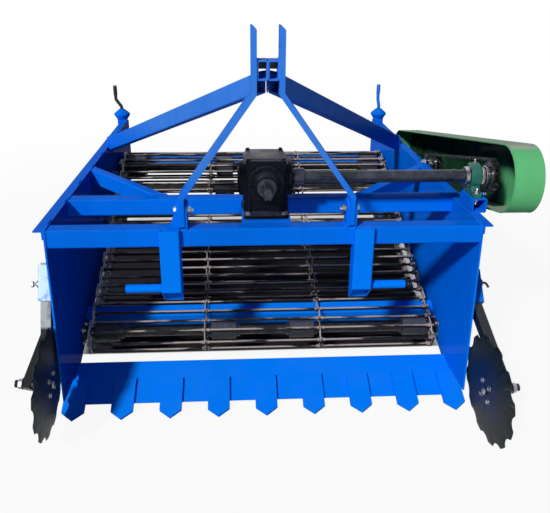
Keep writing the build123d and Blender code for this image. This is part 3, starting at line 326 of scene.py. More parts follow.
def rod(name, ragged=0.50, top_from=0.15):
    """Web rod: black scale below, and above it beige lengths that start and stop along the rod: rubbed steel
    with a painted highlight where the key light falls on its top, broken by painted shadows of the parts
    above.
    """
    n = Nodes(name)
    # painted shadows: the lit lengths start and stop where parts above shade the rod
    lit_lengths = n.patches(21.0, 4, ragged - 0.03, ragged + 0.03, roughness=0.6, stretch=(0.16, 1, 1))
    # painted highlight: beige on top faces where the key light falls, over rubbed steel
    sunlit_tops = n.times(lit_lengths, n.ramp(n.facing("Z"), top_from, top_from + 0.4))
    beige = n.mix(n.noise(60.0, 3), (0.50, 0.42, 0.38), (0.27, 0.23, 0.22))
    normal = n.bump(n.noise(500.0, 3, 0.6, (0.1, 1, 1)), 0.0003)
    rough = n.patches(60.0, 4, 0.3, 0.7, 0.4, 0.6)
    return n.finish(n.mix(sunlit_tops, (0.010, 0.009, 0.012), beige), rough, normal, specular=0.12)


def disc_steel_painted_sky(name, centre):
    """Disc steel under thin black paint: a painted blue sky reflection in its navy centre and bluish streaks,
    pale scoured streaks outwards and rings of turning marks.
    """
    n = Nodes(name)
    polar = n.turned_about_x(centre)
    streaks = n.patches(9.0, 5, 0.4, 0.72, roughness=0.65, stretch=(1, 0.8, 1), vector=polar)
    # painted reflection: dark blue streaks stand in for the sky reflected in the disc
    base = n.mix(streaks, (0.002, 0.004, 0.005), (0.015, 0.025, 0.033))
    out = n.ramp(n.split(polar, "Y"), 0.05, 0.13)
    # painted reflection: a navy centre for the sky reflected there
    base = n.mix(n.maths("SUBTRACT", 1.0, out), base, (0.004, 0.013, 0.055))
    pale = n.patches(16.0, 6, 0.60, 0.72, 0.0, 0.8, roughness=0.7, stretch=(1, 0.5, 1), vector=polar)
    base = n.mix(n.times(out, pale), base, (0.15, 0.17, 0.17))
    worn = n.times(n.edges(0.0015), n.patches(40.0, 4, 0.4, 0.6, 0.2, 0.9))
    base = n.mix(worn, base, (0.16, 0.17, 0.18))
    rings = n.noise(260.0, 2, 0.5, (0.02, 1, 1), polar)
    rough = n.ramp(streaks, 0.0, 1.0, 0.42, 0.58)
    return n.finish(base, rough, n.bump(rings, 0.0002, n.rounded(0.0008)), specular=0.10)


# the frame's blue carries painted light and painted shade from its cover
blue = paint("frame_blue_paint_painted_light", (0.0, 0.160, 0.84), cover=frame_painted_light_and_shade)
gear_iron = casting("gearbox_iron", (0.003, 0.004, 0.008), roughness=0.42, specular=0.08)
wheel_rubber = casting("roller_wheel_coating", (0.030, 0.034, 0.044), 0.6, grain=500.0, dust=0.5)
polished = steel("polished_steel", (0.55, 0.56, 0.58), (0.06, 0.06, 0.065), 0.22, 0.45)
# painted light: a pale colour so that the left row of hooks, which lies in shade, looks sunlit
pale_lit_hooks = steel("left_hooks_painted_light", (0.80, 0.74, 0.68), (0.30, 0.27, 0.25), 0.5, 0.35, metallic=0.0)
tooth_steel = steel("oily_teeth", (0.28, 0.28, 0.29), (0.012, 0.012, 0.013), 0.34, 0.75, metallic=0.8)
shaft_steel = steel(
    "turned_shaft_steel", (0.045, 0.055, 0.085), (0.016, 0.018, 0.026), 0.32, grain=(0.05, 1, 1), metallic=0.6
)
knot_steel = rod("rod_knots_painted_sunlit_tops", 0.46, -0.1)
hook_steel = rod("hooks_painted_sunlit_tops", 0.46, 0.0)

FINISHES = {
    "blue_paint": blue,
    "rim_paint": blue,
    "black_paint": paint("disc_black_paint", (0.012, 0.015, 0.024), dust=0.12, wear=0.9, specular=0.3),
    "green_paint": paint("guard_green_paint", (0.12, 0.46, 0.19), 0.42, wear=0.6),
    "teal_paint": casting("bearing_teal_paint", (0.012, 0.115, 0.085), roughness=0.4),
    "gearbox_paint": gear_iron,
    "dark_steel": steel("oiled_dark_steel", (0.05, 0.05, 0.055), (0.018, 0.017, 0.018), 0.42, metallic=0.7),
    # web rods carry painted sunlit tops
    "worn_steel": rod("web_rod_painted_sunlit_tops"),
    "zinc_steel": steel("plated_fasteners", (0.50, 0.52, 0.55), (0.20, 0.21, 0.23), 0.34, 0.55),
    "tyre_rubber": rubber("tyre_rubber"),
}
OWN_FINISH = {
    "output_shaft": shaft_steel,
    # the guard's paint carries painted shade on its inner face
    "chain_guard": paint("guard_paint_painted_shade", (0.125, 0.50, 0.20), 0.42, wear=0.6, cover=guard_painted_shade_and_dust),
    "disc_sleeves": paint("sleeve_blue_paint_painted_glare", (0.0, 0.168, 0.83), cover=left_sleeve_painted_glare),
    "left_disc_arm": paint("arm_paint_grey_front", (0.010, 0.011, 0.013), specular=0.1, cover=grey_front_patches),
}
for part in frame["record"]["subparts"]:
    mesh = frame["nodes"][part["node"]].data
    mesh.materials.clear()
    mesh.materials.append(OWN_FINISH.get(part["node"], FINISHES[part["material_slot"]]))


# ---- Shapes: points and lists of faces ----------------------------------------------------
def outward(shape):
    """Turn a closed shell's faces round if the sum of corner . (edge x edge) over them is negative."""
    points, faces = shape
    middle = points.mean(axis=0)
    total = 0.0
    for group in faces:
        corner = points[group] - middle
        fan = np.cross(corner[:, 1:-1], corner[:, 2:])
        total += np.einsum("fi,fki->", corner[:, 0], fan)
    if total < 0:
        faces = [group[:, ::-1] for group in faces]
    return points, faces


def join(*shapes):
    """One shape of several: their points in a row, each shape's face numbers moved on past those before."""
    points = np.vstack([shape[0] for shape in shapes])
    faces = []
    start = 0
    for shape_points, shape_faces in shapes:
        faces += [group + start for group in shape_faces]
        start += len(shape_points)
    return points, faces


def moved(shape, by):
    """The shape with every point moved by the same vector."""
    return shape[0] + np.array(by, float), shape[1]


def skin(rings, closed=False):
    """Closed shell over a stack of rings, (rings, corners, 3): quads between them, a flat cap at each end."""
    rings = np.array(rings, float)
    count, corners_round = rings.shape[:2]
    index = np.arange(count * corners_round).reshape(count, corners_round)
    wrap = np.hstack((index, index[:, :1]))
    if closed:
        wrap = np.vstack((wrap, wrap[:1]))
    quads = np.stack((wrap[:-1, :-1], wrap[:-1, 1:], wrap[1:, 1:], wrap[1:, :-1]), axis=-1).reshape(-1, 4)
    faces = [quads]
    if not closed:
        faces += [index[:1, ::-1], index[-1:]]
    return outward((rings.reshape(-1, 3), faces))


def unit(vector):
    """The vector, or each row of it, made one long."""
    vector = np.array(vector, float)
    return vector / np.linalg.norm(vector, axis=-1, keepdims=True)


def frame_of(axis):
    """Two unit vectors square to an axis, and the axis made unit long."""
    axis = unit(axis)
    helper = X_AXIS if abs(axis[0]) < 0.9 else Z_AXIS
    across = unit(np.cross(helper, axis))
    return across, np.cross(axis, across), axis


def spokes(turn, across, other):
    """Unit vectors in a plane, turned by each angle from across towards other."""
    return np.cos(turn)[:, None] * across + np.sin(turn)[:, None] * other


def round_turn(count):
    """Even angles once round."""
    return np.linspace(0, 2 * np.pi, count, endpoint=False)


def arc(start, end, count):
    """Points (cos, sin) at even angles from start to end."""
    turn = np.linspace(start, end, count)
    return np.stack((np.cos(turn), np.sin(turn)), axis=1)


def circle(radius, sides):
    """Corners of a regular outline round the origin."""
    turn = round_turn(sides)
    return radius * np.stack((np.cos(turn), np.sin(turn)), axis=1)


def lathe(profile, centre, axis, sides=24, closed=False):
    """Profile of (radius, distance along the axis) turned round the axis; a closed one makes a ring."""
    across, other, along = frame_of(axis)
    radius, distance = np.array(profile, float).T
    spoke = spokes(round_turn(sides), across, other)
    rings = np.array(centre) + distance[:, None, None] * along + radius[:, None, None] * spoke[None]
    return skin(rings, closed)


def prism(outline, centre, across, up, depth, bevel=0.0):
    """Flat outline of (across, up) pushed depth along across x up, both rims drawn in by the bevel."""
    across = np.array(across, float)
    up = np.array(up, float)
    out = np.cross(across, up)
    flat = np.array(outline, float)
    middle = (flat.max(axis=0) + flat.min(axis=0)) / 2
    half = (flat.max(axis=0) - flat.min(axis=0)) / 2
    small = middle + (flat - middle) * (1 - bevel / half)
    levels = [(flat, 0.0), (flat, depth)]
    if bevel:
        levels = [(small, 0.0), (flat, bevel), (flat, depth - bevel), (small, depth)]
    base = np.array(centre)
    return skin([base + level[:, :1] * across + level[:, 1:] * up + rise * out for level, rise in levels])


def rounded_box(width, height, corner):
    """Outline of a rectangle whose corners are quarter circles."""
    arcs = []
    for quarter, (sign_x, sign_y) in enumerate(((1, 1), (-1, 1), (-1, -1), (1, -1))):
        middle = np.array((sign_x * (width / 2 - corner), sign_y * (height / 2 - corner)))
        start = quarter * np.pi / 2
        arcs.append(middle + corner * arc(start, start + np.pi / 2, 5))
    return np.vstack(arcs)


def line(x, y, z):
    """Corners of a broken line; a coordinate that stays the same along it is given once."""
    return np.stack(np.broadcast_arrays(x, y, z), axis=1).astype(float)


def evenly(path, at_step=None, count=None):
    """Points at even distances along a broken line, those distances, and the line's length."""
    length = np.concatenate(([0.0], np.cumsum(np.linalg.norm(np.diff(path, axis=0), axis=1))))
    if count:
        at = np.arange(count) / count * length[-1]
    else:
        at = np.linspace(0, length[-1], max(3, int(length[-1] / at_step) + 1))
    return np.stack([np.interp(at, length, column) for column in path.T], axis=1), at, length[-1]


def sweep(path, section, side, closed=False, scale=None):
    """Section of (sideways, upwards) carried along a path; sideways is the side vector squared to it."""
    path = np.array(path, float)
    ahead = np.roll(path, -1, axis=0) - np.roll(path, 1, axis=0) if closed else np.gradient(path, axis=0)
    ahead = unit(ahead)
    sideways = np.broadcast_to(np.array(side, float), path.shape)
    sideways = unit(sideways - (sideways * ahead).sum(axis=1)[:, None] * ahead)
    upward = np.cross(ahead, sideways)
    flat = np.array(section, float)
    scale = (np.ones(len(path)) if scale is None else scale)[:, None, None]
    rings = path[:, None] + scale * (flat[:, :1] * sideways[:, None] + flat[:, 1:] * upward[:, None])
    return skin(rings, closed)


def copies(shape, places, turns=None):
    """A shape repeated at each place, (n, 3), each copy turned by its own matrix when turns are given."""
    points, faces = shape
    places = np.atleast_2d(np.array(places, float))
    if turns is None:
        turns = np.broadcast_to(np.eye(3), (len(places), 3, 3))
    many = np.einsum("nij,pj->npi", np.array(turns, float), points) + places[:, None]
    step = (np.arange(len(places)) * len(points))[:, None, None]
    return many.reshape(-1, 3), [(group[None] + step).reshape(-1, group.shape[1]) for group in faces]


def turned_to(axes, spins):
    """Matrices that turn the Z axis to each given axis, after a spin about Z."""
    frames = np.array([frame_of(axis) for axis in axes])
    across, other, along = frames[:, 0], frames[:, 1], frames[:, 2]
    first = np.cos(spins)[:, None] * across + np.sin(spins)[:, None] * other
    return np.stack((first, np.cross(along, first), along), axis=2)


def about_x(angles):
    """Matrices that turn Y towards Z by each angle."""
    one = np.ones_like(angles)
    zero = np.zeros_like(angles)
    rows = (
        np.stack((one, zero, zero), axis=1),
        np.stack((zero, np.cos(angles), -np.sin(angles)), axis=1),
        np.stack((zero, np.sin(angles), np.cos(angles)), axis=1),
    )
    return np.stack(rows, axis=1)


def link(name, data):
    """A new object in the scene with this mesh, light or camera."""
    thing = bpy.data.objects.new(name, data)
    bpy.context.scene.collection.objects.link(thing)
    return thing


def build(name, shape, slot, body="frame", replaces=(), material=None):
    """Put a shape into a mesh in the model's frame, smooth it below a sharp angle and tie it to its body."""
    points, faces = shape
    mesh = bpy.data.meshes.new(name)
    sizes = np.concatenate([np.full(len(group), group.shape[1]) for group in faces])
    starts = np.concatenate(([0], np.cumsum(sizes)[:-1])).astype(np.int32)
    round_faces = np.concatenate([group.ravel() for group in faces]).astype(np.int32)
    mesh.vertices.add(len(points))
    mesh.vertices.foreach_set("co", (points * MILLIMETRE + ORIGIN).astype(np.float32).ravel())
    mesh.loops.add(len(round_faces))
    mesh.loops.foreach_set("vertex_index", round_faces)
    mesh.polygons.add(len(sizes))
    mesh.polygons.foreach_set("loop_start", starts)
    mesh.update(calc_edges=True)
    mesh.shade_smooth()
    mesh.set_sharp_from_angle(angle=SHARP)
    mesh.materials.append(material or FINISHES[slot])
    piece = link(name, mesh)
    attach(piece, body)
    if replaces:
        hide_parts(*replaces)


# ---- Bolts and weld beads -----------------------------------------------------------------
HEAD_FLATS = 1.5                 # across the flats of a head, in bolt diameters
HEAD_HIGH = 0.65
WASHER_HIGH = 0.16
THREAD_PITCH = 2.5
FASTENER_TURN = 0.7              # from one fastener of a set to the next, in radians
AT_ORIGIN = (0, 0, 0)


def hex_head(size):
    """Six-sided head up the Z axis, its top drawn in to a round of twelve corners."""
    wide = circle(HEAD_FLATS * size / math.sqrt(3), 6)
    ring = np.repeat(wide, 2, axis=0)
    ring[1::2] = (wide + np.roll(wide, -1, axis=0)) / 2
    top = unit(ring) * 0.70 * size
    tall = HEAD_HIGH * size
    levels = ((ring, 0.0), (ring, tall * 0.86), (top, tall))
    return skin([np.hstack((level, np.full((12, 1), rise))) for level, rise in levels])


def bolt(size, washer=True, end=0.0, shank=0.0):
    """Washer and head up the Z axis from a face, a thread end past the head, and a shank that goes down."""
    parts = []
    rise = 0.0
    if washer:
        rise = WASHER_HIGH * size
        rim = ((0.92 * size, 0.0), (size, 0.03 * size), (size, 0.13 * size), (0.92 * size, rise))
        parts.append(lathe(rim, AT_ORIGIN, Z_AXIS, 20))
    parts.append(moved(hex_head(size), (0, 0, rise)))
    if end:
        top = rise + HEAD_HIGH * size
        parts.append(lathe(threaded(size / 2, top - 1, top + end), AT_ORIGIN, Z_AXIS, 12))
    if shank:
        parts.append(lathe(((size / 2, 0.5), (size / 2, -shank)), AT_ORIGIN, Z_AXIS, 12))
    return join(*parts)


def threaded(radius, low, high):
    """Profile of a thread drawn as rings: the radius less a triangle wave, with a chamfered end."""
    at = np.arange(low, high - THREAD_PITCH / 2, THREAD_PITCH / 2)
    wave = radius - (np.arange(len(at)) % 2) * THREAD_PITCH * 0.3
    return np.vstack((np.stack((wave, at), axis=1), ((radius * 0.75, high),)))


def bolts(size, places, axis, **kind):
    """The same bolt or nut at every place, each turned a little further round than the one before."""
    places = np.atleast_2d(np.array(places, float))
    axes = np.broadcast_to(np.array(axis, float), places.shape)
    return copies(bolt(size, **kind), places, turned_to(axes, np.arange(len(places)) * FASTENER_TURN))


def ring_places(count, radius, centre, axis, first=0.0):
    """Places at even angles round an axis."""
    across, other, _ = frame_of(axis)
    turn = first + np.arange(count) * 2 * np.pi / count
    return np.array(centre) + radius * spokes(turn, across, other)


BEAD_SIDE = (0.31, 0.27, 0.91)   # not along any seam, so that a bead's section never folds
BEAD_RIPPLE = 5.0                # length of one ripple along a bead
SQUARE = np.array(((1, 1), (1, -1), (-1, -1), (-1, 1), (1, 1))) / 2    # unit square, closed


def bead(path, leg, side=BEAD_SIDE):
    """Weld bead: a six-sided section along a seam that swells once a ripple and dies away at both ends."""
    points, at, _ = evenly(np.array(path, float), BEAD_RIPPLE / 2)
    wave = 1 + 0.13 * np.cos(np.pi * np.arange(len(at))) + 0.08 * np.sin(at * 0.061)
    ends = np.minimum(1, np.sqrt(np.minimum(at, at[-1] - at) / (leg * 1.5) + 0.03))
    points = points + 0.5 * np.sin(at * 0.037)[:, None] * np.array(side)
    return sweep(points, circle(leg, 6), side, scale=wave * ends)


def seams(paths, leg):
    """Beads along several seams, one for each straight run of each path."""
    runs = [(start, end) for path in paths for start, end in zip(path[:-1], path[1:])]
    return join(*[bead(run, leg) for run in runs])


def ring_bead(radius, centre, axis, leg):
    """Bead once round an axis."""
    return bead(ring_places(25, radius, centre, axis), leg, axis)


def box_ring(plane_x, low, high):
    """Corners of an upright rectangle across X at plane_x, from (y, z) low to high, back to the first."""
    y = (low[0], high[0], high[0], low[0], low[0])
    z = (high[1], high[1], low[1], low[1], high[1])
    return line(plane_x, y, z)


def tube_ring(start, end, width, height, point, normal):
    """Where the corners of a rectangular tube, width level by height, meet a plane."""
    start = np.array(start, float)
    along = unit(np.array(end, float) - start)
    across = unit(np.cross(along, Z_AXIS))
    upward = np.cross(across, along)
    corner = start + SQUARE[:, :1] * width * across + SQUARE[:, 1:] * height * upward
    travel = ((np.array(point) - corner) @ np.array(normal)) / (along @ np.array(normal))
    return corner + travel[:, None] * along


# ---- Hitch, mast and frame ---------------------------------------------------------------
HEEL = 1.0                       # how far a piece is let into the face that it stands on
BEAMS = ("front_beam", "gearbox_beam", "rear_beam")
LUG = 8.0                        # thickness of a mast foot's brackets
MAST_BAR = 17.0                  # thickness of a mast bar
BRACE = (40.0, 60.0)             # width and height of a rear brace
BRACE_TOP_X = 24.0
BRACE_TOP_Z = 1138.0
BRACE_FOOT_Y = 1190.0
GUSSET = (40.0, 60.0)            # width and height of a corner gusset
GUSSET_PLATE_Y = 765.0           # where a gusset's middle meets the side plate
GUSSET_BEAM_X = 374.0            # where it meets the gearbox beam
WEB_THICK = 8.0                  # thickness of a welded or cast stiffening web
STITCH = 50.0                    # length of a weld stitch along a rail
STITCH_STEP = 230.0
POST_HALF = 25.0                 # half the width of a wheel post, which stands against its plate
POST_SEAM_LOW = 485.0            # lower end of the bead between a post and its plate
PLATE_REAR_LOW = 495.0           # lower end of the bead down a plate's rear edge
plate_low, plate_high, _ = corners("right_side_plate")
PLATE_IN, PLATE_OUT = plate_low[0], plate_high[0]
FRAME_TOP = plate_high[2]


def mast_hardware():
    """Bolt, washers and nut through each mast foot: the head outside, the nut and thread end inside."""
    low, high, middle = corners("mast_bolts")
    size = (high[2] - low[2]) * math.cos(math.pi / 6) / HEAD_FLATS
    outer = corners("mast_lugs")[1][0]
    inner = outer - 2 * LUG - MAST_BAR
    sides = []
    for _, side in SIDES:
        sides.append(bolts(size, (side * outer, *middle[1:]), (side, 0, 0), shank=outer - inner))
        sides.append(bolts(size, (side * inner, *middle[1:]), (-side, 0, 0), end=0.55 * size))
    build("mast_bolt_sets", join(*sides), "zinc_steel", replaces=("mast_bolts",))


def upright_web(outline, corner, outwards):
    """Flat web of (out, up) standing on a face, pushed sideways by its thickness."""
    return prism(outline, corner, outwards, Z_AXIS, WEB_THICK, 0.8)


def mast_foot_webs():
    """Two small webs that flare out from the left mast foot's outer bracket to the top of the front beam."""
    low, high, _ = corners("mast_lugs")
    outline = ((0, 0), (28, 0), (22, 9), (5, 58), (0, 58))
    edges = (low[1] + 5, high[1] - 5)
    webs = [upright_web(outline, (low[0] + 0.5, y - 4, FRAME_TOP), (-1, 0, 0)) for y in edges]
    build("mast_foot_webs", join(*webs), "blue_paint")


def mast_shade_plate():
    """Small stiffening plate between the mast bars, behind the upper half of the spacer tubes, coloured black
    as painted shade.
    """
    high = corners("mast_spacer")[1]
    place = (0, high[1] + 6.5, high[2] - 16)
    plate = prism(rounded_box(2 * high[0], 30, 1), place, X_AXIS, Z_AXIS, 6.0, 0.6)
    build("mast_plate_painted_shade", plate, "black_paint")


def frame_welds():
    """Beads round every beam end, gusset end and brace end of the frame."""
    paths = []
    for beam in BEAMS:
        low, high, _ = corners(beam)
        paths += [box_ring(side * PLATE_IN, low[1:], high[1:]) for _, side in SIDES]
    gusset_z = corners("right_corner_gusset")[2][2]
    beam_rear = corners("gearbox_beam")[1][1]
    brace_front = corners("right_rear_brace")[0][1]
    for _, side in SIDES:
        plate_end = (side * PLATE_IN, GUSSET_PLATE_Y, gusset_z)
        beam_end = (side * GUSSET_BEAM_X, beam_rear, gusset_z)
        paths.append(tube_ring(plate_end, beam_end, *GUSSET, plate_end, X_AXIS))
        paths.append(tube_ring(plate_end, beam_end, *GUSSET, beam_end, Y_AXIS))
        top = (side * BRACE_TOP_X, brace_front, BRACE_TOP_Z)
        foot = (side * PLATE_IN, BRACE_FOOT_Y, FRAME_TOP)
        paths.append(tube_ring(top, foot, *BRACE, foot, X_AXIS))
        paths.append(tube_ring(top, foot, *BRACE, top, Y_AXIS)[[4, 3, 2]])
    build("frame_welds", seams(paths, 3.6), "blue_paint")


def hitch_welds():
    """Beads where the hitch legs, pins, lugs and spacers meet their neighbours."""
    leg_low, leg_high, _ = corners("right_hitch_leg")
    (_, front, under), (_, rear, top), _ = corners("front_beam")
    (_, spacer_front, spacer_low), (spacer_x, spacer_rear, spacer_high), _ = corners("mast_spacer")
    outer = corners("mast_lugs")[1][0]
    lug_faces = (outer, outer - LUG, outer - LUG - MAST_BAR, outer - 2 * LUG - MAST_BAR)
    paths = []
    for _, side in SIDES:
        leg_faces = (side * leg_low[0], side * leg_high[0])
        paths += [line(x, (front, front, leg_high[1]), (top, under, under)) for x in leg_faces]
        paths += [line(side * x, (front + 3, rear - 3), top) for x in lug_faces]
        paths += [line((side * x, side * (x - LUG)), y, top) for y in (front, rear) for x in lug_faces[::2]]
        paths += [line(side * spacer_x, (spacer_front, spacer_rear), z) for z in (spacer_low, spacer_high)]
        paths.append(line(side * spacer_x, spacer_front, (spacer_low, spacer_high)))
    paths.append(line(0, spacer_front, (spacer_low + 3, spacer_high - 3)))
    pin = corners("lower_hitch_pins")[2]
    rings = [ring_bead(14.5, (side * leg_high[0], *pin[1:]), (side, 0, 0), 3.6) for _, side in SIDES]
    build("hitch_welds", join(seams(paths, 3.4), *rings), "blue_paint")


def rail_and_mount_welds():
    """Short stitches along each rail, and beads at the gearbox mount, bearing tube and tensioner."""
    paths = []
    rail_low, rail_high, _ = corners("right_top_rail")
    for start in np.arange(rail_low[1] + 60, rail_high[1] - 80, STITCH_STEP):
        paths += [line(side * PLATE_OUT, (start, start + STITCH), FRAME_TOP) for _, side in SIDES]
    mount_low, mount_high, _ = corners("gearbox_mount")
    across = (mount_low[0] + 2, mount_high[0] - 2)
    paths += [line(across, y, FRAME_TOP) for y in (mount_low[1], mount_high[1])]
    edge = rail_high[0]
    tube_low, tube_high, _ = corners("bearing_support")
    paths.append(line(edge, (tube_low[1] + 4, tube_high[1] - 4), FRAME_TOP))
    paths += [line((tube_low[0] + 6, edge), y, FRAME_TOP) for y in (tube_low[1], tube_high[1])]
    arm_low, arm_high, _ = corners("chain_tensioner")
    paths += [line(edge, y, (FRAME_TOP - 5, FRAME_TOP)) for y in (arm_low[1], arm_high[1])]
    paths.append(line(edge, (arm_low[1], arm_high[1]), FRAME_TOP))
    build("rail_welds", seams(paths, 2.6), "blue_paint")


def post_and_sleeve_welds():
    """Beads down the wheel posts, round their collars, and round the disc sleeves and their pads."""
    paths = []
    rings = []
    for name, side in SIDES:
        post_y = corners(name + "_wheel_post")[2][1]
        collar_foot = corners(name + "_top_rail")[1][2] + 11
        paths.append(line(side * PLATE_OUT, post_y - POST_HALF, (POST_SEAM_LOW, FRAME_TOP - 30)))
        paths.append(line(side * PLATE_OUT, plate_high[1], (PLATE_REAR_LOW, FRAME_TOP - 2)))
        rings.append(ring_bead(24.0, (side * (PLATE_OUT + POST_HALF), post_y, collar_foot), Z_AXIS, 3.4))
    for side, centre, back, upward in sleeve_frames():
        for x, wide in ((PLATE_OUT, SLEEVE_PAD_WIDE), (PLATE_OUT + SLEEVE_PAD, SLEEVE)):
            seat = centre * (0, 1, 1) + (side * x, 0, 0)
            paths.append(seat + SQUARE[:, :1] * wide * back + SQUARE[:, 1:] * SLEEVE_LONG * upward)
    build("post_and_sleeve_welds", join(seams(paths, 3.4), *rings), "blue_paint")


SLEEVE = 49.6                    # across a sleeve
SLEEVE_LONG = 120.0              # length of a sleeve along its arm
SLEEVE_PAD = 12.0                # thickness of the pad between a sleeve and the side plate
SLEEVE_PAD_WIDE = 80.0
CLAMP_RISE = (-4.0, 16.0)        # from a sleeve's middle up to its clamp bolt, left and right
SLEEVE_RAKE = {"left": math.radians(25.5), "right": math.radians(40.5)}
SHANK = 35.0
SHANK_STUB = 8.0                 # how far a shank stands out above its sleeve


def sleeve_frames():
    """Each disc sleeve's side, middle (from its arm's top corner), rearward line and upward line."""
    found = []
    for name, side in SIDES:
        lean = SLEEVE_RAKE[name]
        back = np.array((0.0, math.cos(lean), -math.sin(lean)))
        upward = np.array((0.0, math.sin(lean), math.cos(lean)))
        arm_high = corners(name + "_disc_arm")[1]
        reach = SLEEVE_LONG / 2 + SHANK_STUB
        y = arm_high[1] - reach * math.sin(lean) - SHANK / 2 * math.cos(lean)
        z = arm_high[2] - reach * math.cos(lean) - SHANK / 2 * math.sin(lean)
        found.append((side, np.array((side * (PLATE_OUT + SLEEVE_PAD + SLEEVE / 2), y, z)), back, upward))
    return found


def bent_handle(seat):
    """Round bar that leaves a seat along X and bends down and forwards by 60 degrees."""
    turn = np.linspace(0, np.pi / 3, 5)[:, None]
    fall = np.array((0, -0.5, -0.87))
    bend = seat + (16, 0, 0) + 9 * (np.sin(turn) * (1, 0, 0) + (1 - np.cos(turn)) * fall)
    end = bend[-1] + 14 * (np.array((0.5, 0, 0)) + 0.87 * fall)
    return sweep(np.vstack((seat + (7, 0, 0), bend, end)), circle(4.2, 10), (0, 0.87, -0.5))


def sleeve_clamps():
    """Clamp bolt through each sleeve's outer wall: a hexagon on the left, a bent handle on the right."""
    (side, centre, _, upward), (right, right_centre, _, right_upward) = sleeve_frames()
    boss = ((13, -1), (13, 6), (11, 8), (6.5, 8))
    seat = centre + (side * SLEEVE / 2, 0, 0) + CLAMP_RISE[0] * upward
    shaft = lathe(threaded(6.0, 7.0, 26.0), seat, (side, 0, 0), 12)
    head = bolts(12, seat + (side * 20, 0, 0), (side, 0, 0), washer=False)
    build("left_sleeve_clamp", join(lathe(boss, seat, (side, 0, 0), 16), shaft, head), "zinc_steel")
    seat = right_centre + (right * SLEEVE / 2, 0, 0) + CLAMP_RISE[1] * right_upward
    build("right_sleeve_clamp", join(lathe(boss, seat, (right, 0, 0), 16), bent_handle(seat)), "dark_steel")


BLADE_SLOPE = math.radians(23)
BLADE_FRONT = 44.0               # y of the blade's front edge
BLADE_SEAM = 178.0               # how far up the blade's slope its welds run
EAR_HIGH = 155.0
EAR_TOP = 36.0                   # length of an ear's upper edge
EAR_THICK = 8.0
TOOTH_COUNT = 9
TOOTH_WIDE = 78.0
TOOTH_AHEAD = 68.0               # how far the teeth reach out in front of the blade
TOOTH_LAP = 97.0                 # how far a tooth lies on the blade


def blade_welds():
    """Beads along the plates' feet, the ears, and both sides and the back of every tooth."""
    slope = np.array((0, math.cos(BLADE_SLOPE), math.sin(BLADE_SLOPE)))
    start = np.array((0.0, BLADE_FRONT, TOOTH_AHEAD * math.sin(BLADE_SLOPE)))
    _, rear_y, rear_z = start + slope * BLADE_SEAM
    paths = []
    for _, side in SIDES:
        for x, first in ((PLATE_IN, 140), (PLATE_OUT + EAR_THICK, TOOTH_LAP + 3)):
            _, y, z = start + slope * first
            paths.append(line(side * x, (y, rear_y), (z, rear_z)))
        paths.append(line(side * PLATE_OUT, (rear_y - EAR_TOP, rear_y), EAR_HIGH))
        paths.append(line(side * PLATE_OUT, rear_y, (EAR_HIGH, rear_z + 4)))
    blade_half = corners("digging_blade")[1][0]
    pitch = (2 * blade_half - TOOTH_WIDE) / (TOOTH_COUNT - 1)
    _, front_y, front_z = start + slope * 6
    _, back_y, back_z = start + slope * TOOTH_LAP
    half = TOOTH_WIDE / 2
    for x in (np.arange(TOOTH_COUNT) - (TOOTH_COUNT - 1) / 2) * pitch:
        paths += [line(edge, (front_y, back_y), (front_z, back_z)) for edge in (x - half, x + half)]
        paths.append(line((x - half + 3, x + half - 3), back_y, back_z))
    build("blade_welds", seams(paths, 3.4), "blue_paint")


def shaft_centres():
    """y and z of the front roller, the support roller and the web's drive shaft."""
    return [tuple(corners(node)[2][1:]) for node in ("front_roller", "support_roller", "web_drive_shaft")]


BEARING_BOLTS = (4, 36.5)        # number of bolts, and radius of their circle
FLANGE_THICK = 10.0


def plate_fasteners():
    """Four bolts through each plate at every web shaft: heads on the bearing flange, nuts inside."""
    outside = []
    inside = []
    rings = []
    seal = ((24, -HEEL), (30, -HEEL), (30, 5), (28, 7), (24, 7))
    for _, side in SIDES:
        for y, z in shaft_centres():
            flange = (side * (PLATE_OUT + FLANGE_THICK), y, z)
            wall = (side * PLATE_IN, y, z)
            heads, nuts = [ring_places(*BEARING_BOLTS, face, X_AXIS, 0.8) for face in (flange, wall)]
            outside.append(bolts(8, heads, (side, 0, 0), washer=False))
            inside.append(bolts(9, nuts, (-side, 0, 0), end=5))
            rings.append(lathe(seal, wall, (-side, 0, 0), 28, True))
    build("bearing_bolts", join(*outside, *inside), "zinc_steel")
    build("bearing_seals", join(*rings), "dark_steel")


# ---- Gearbox, shaft, bearing and chain drive -----------------------------------------------
BOX_WIDE = 144.0
BOX_FRONT = 105.0
BOX_BACK = 275.0
BOX_LONG = BOX_BACK - BOX_FRONT
BOX_FLANGE = 14.0                # thickness of the foot flange
SHAFT_Y, SHAFT_Z = corners("output_shaft")[2][1:]


def box_levels(levels, corner):
    """Closed shell through rounded rectangles round the case's upright axis: each is (z, width, depth)."""
    rings = []
    for z, width, depth in levels:
        flat = rounded_box(width, depth, corner) + (0, (BOX_FRONT + BOX_BACK) / 2)
        rings.append(np.hstack((flat, np.full((len(flat), 1), z))))
    return skin(rings)


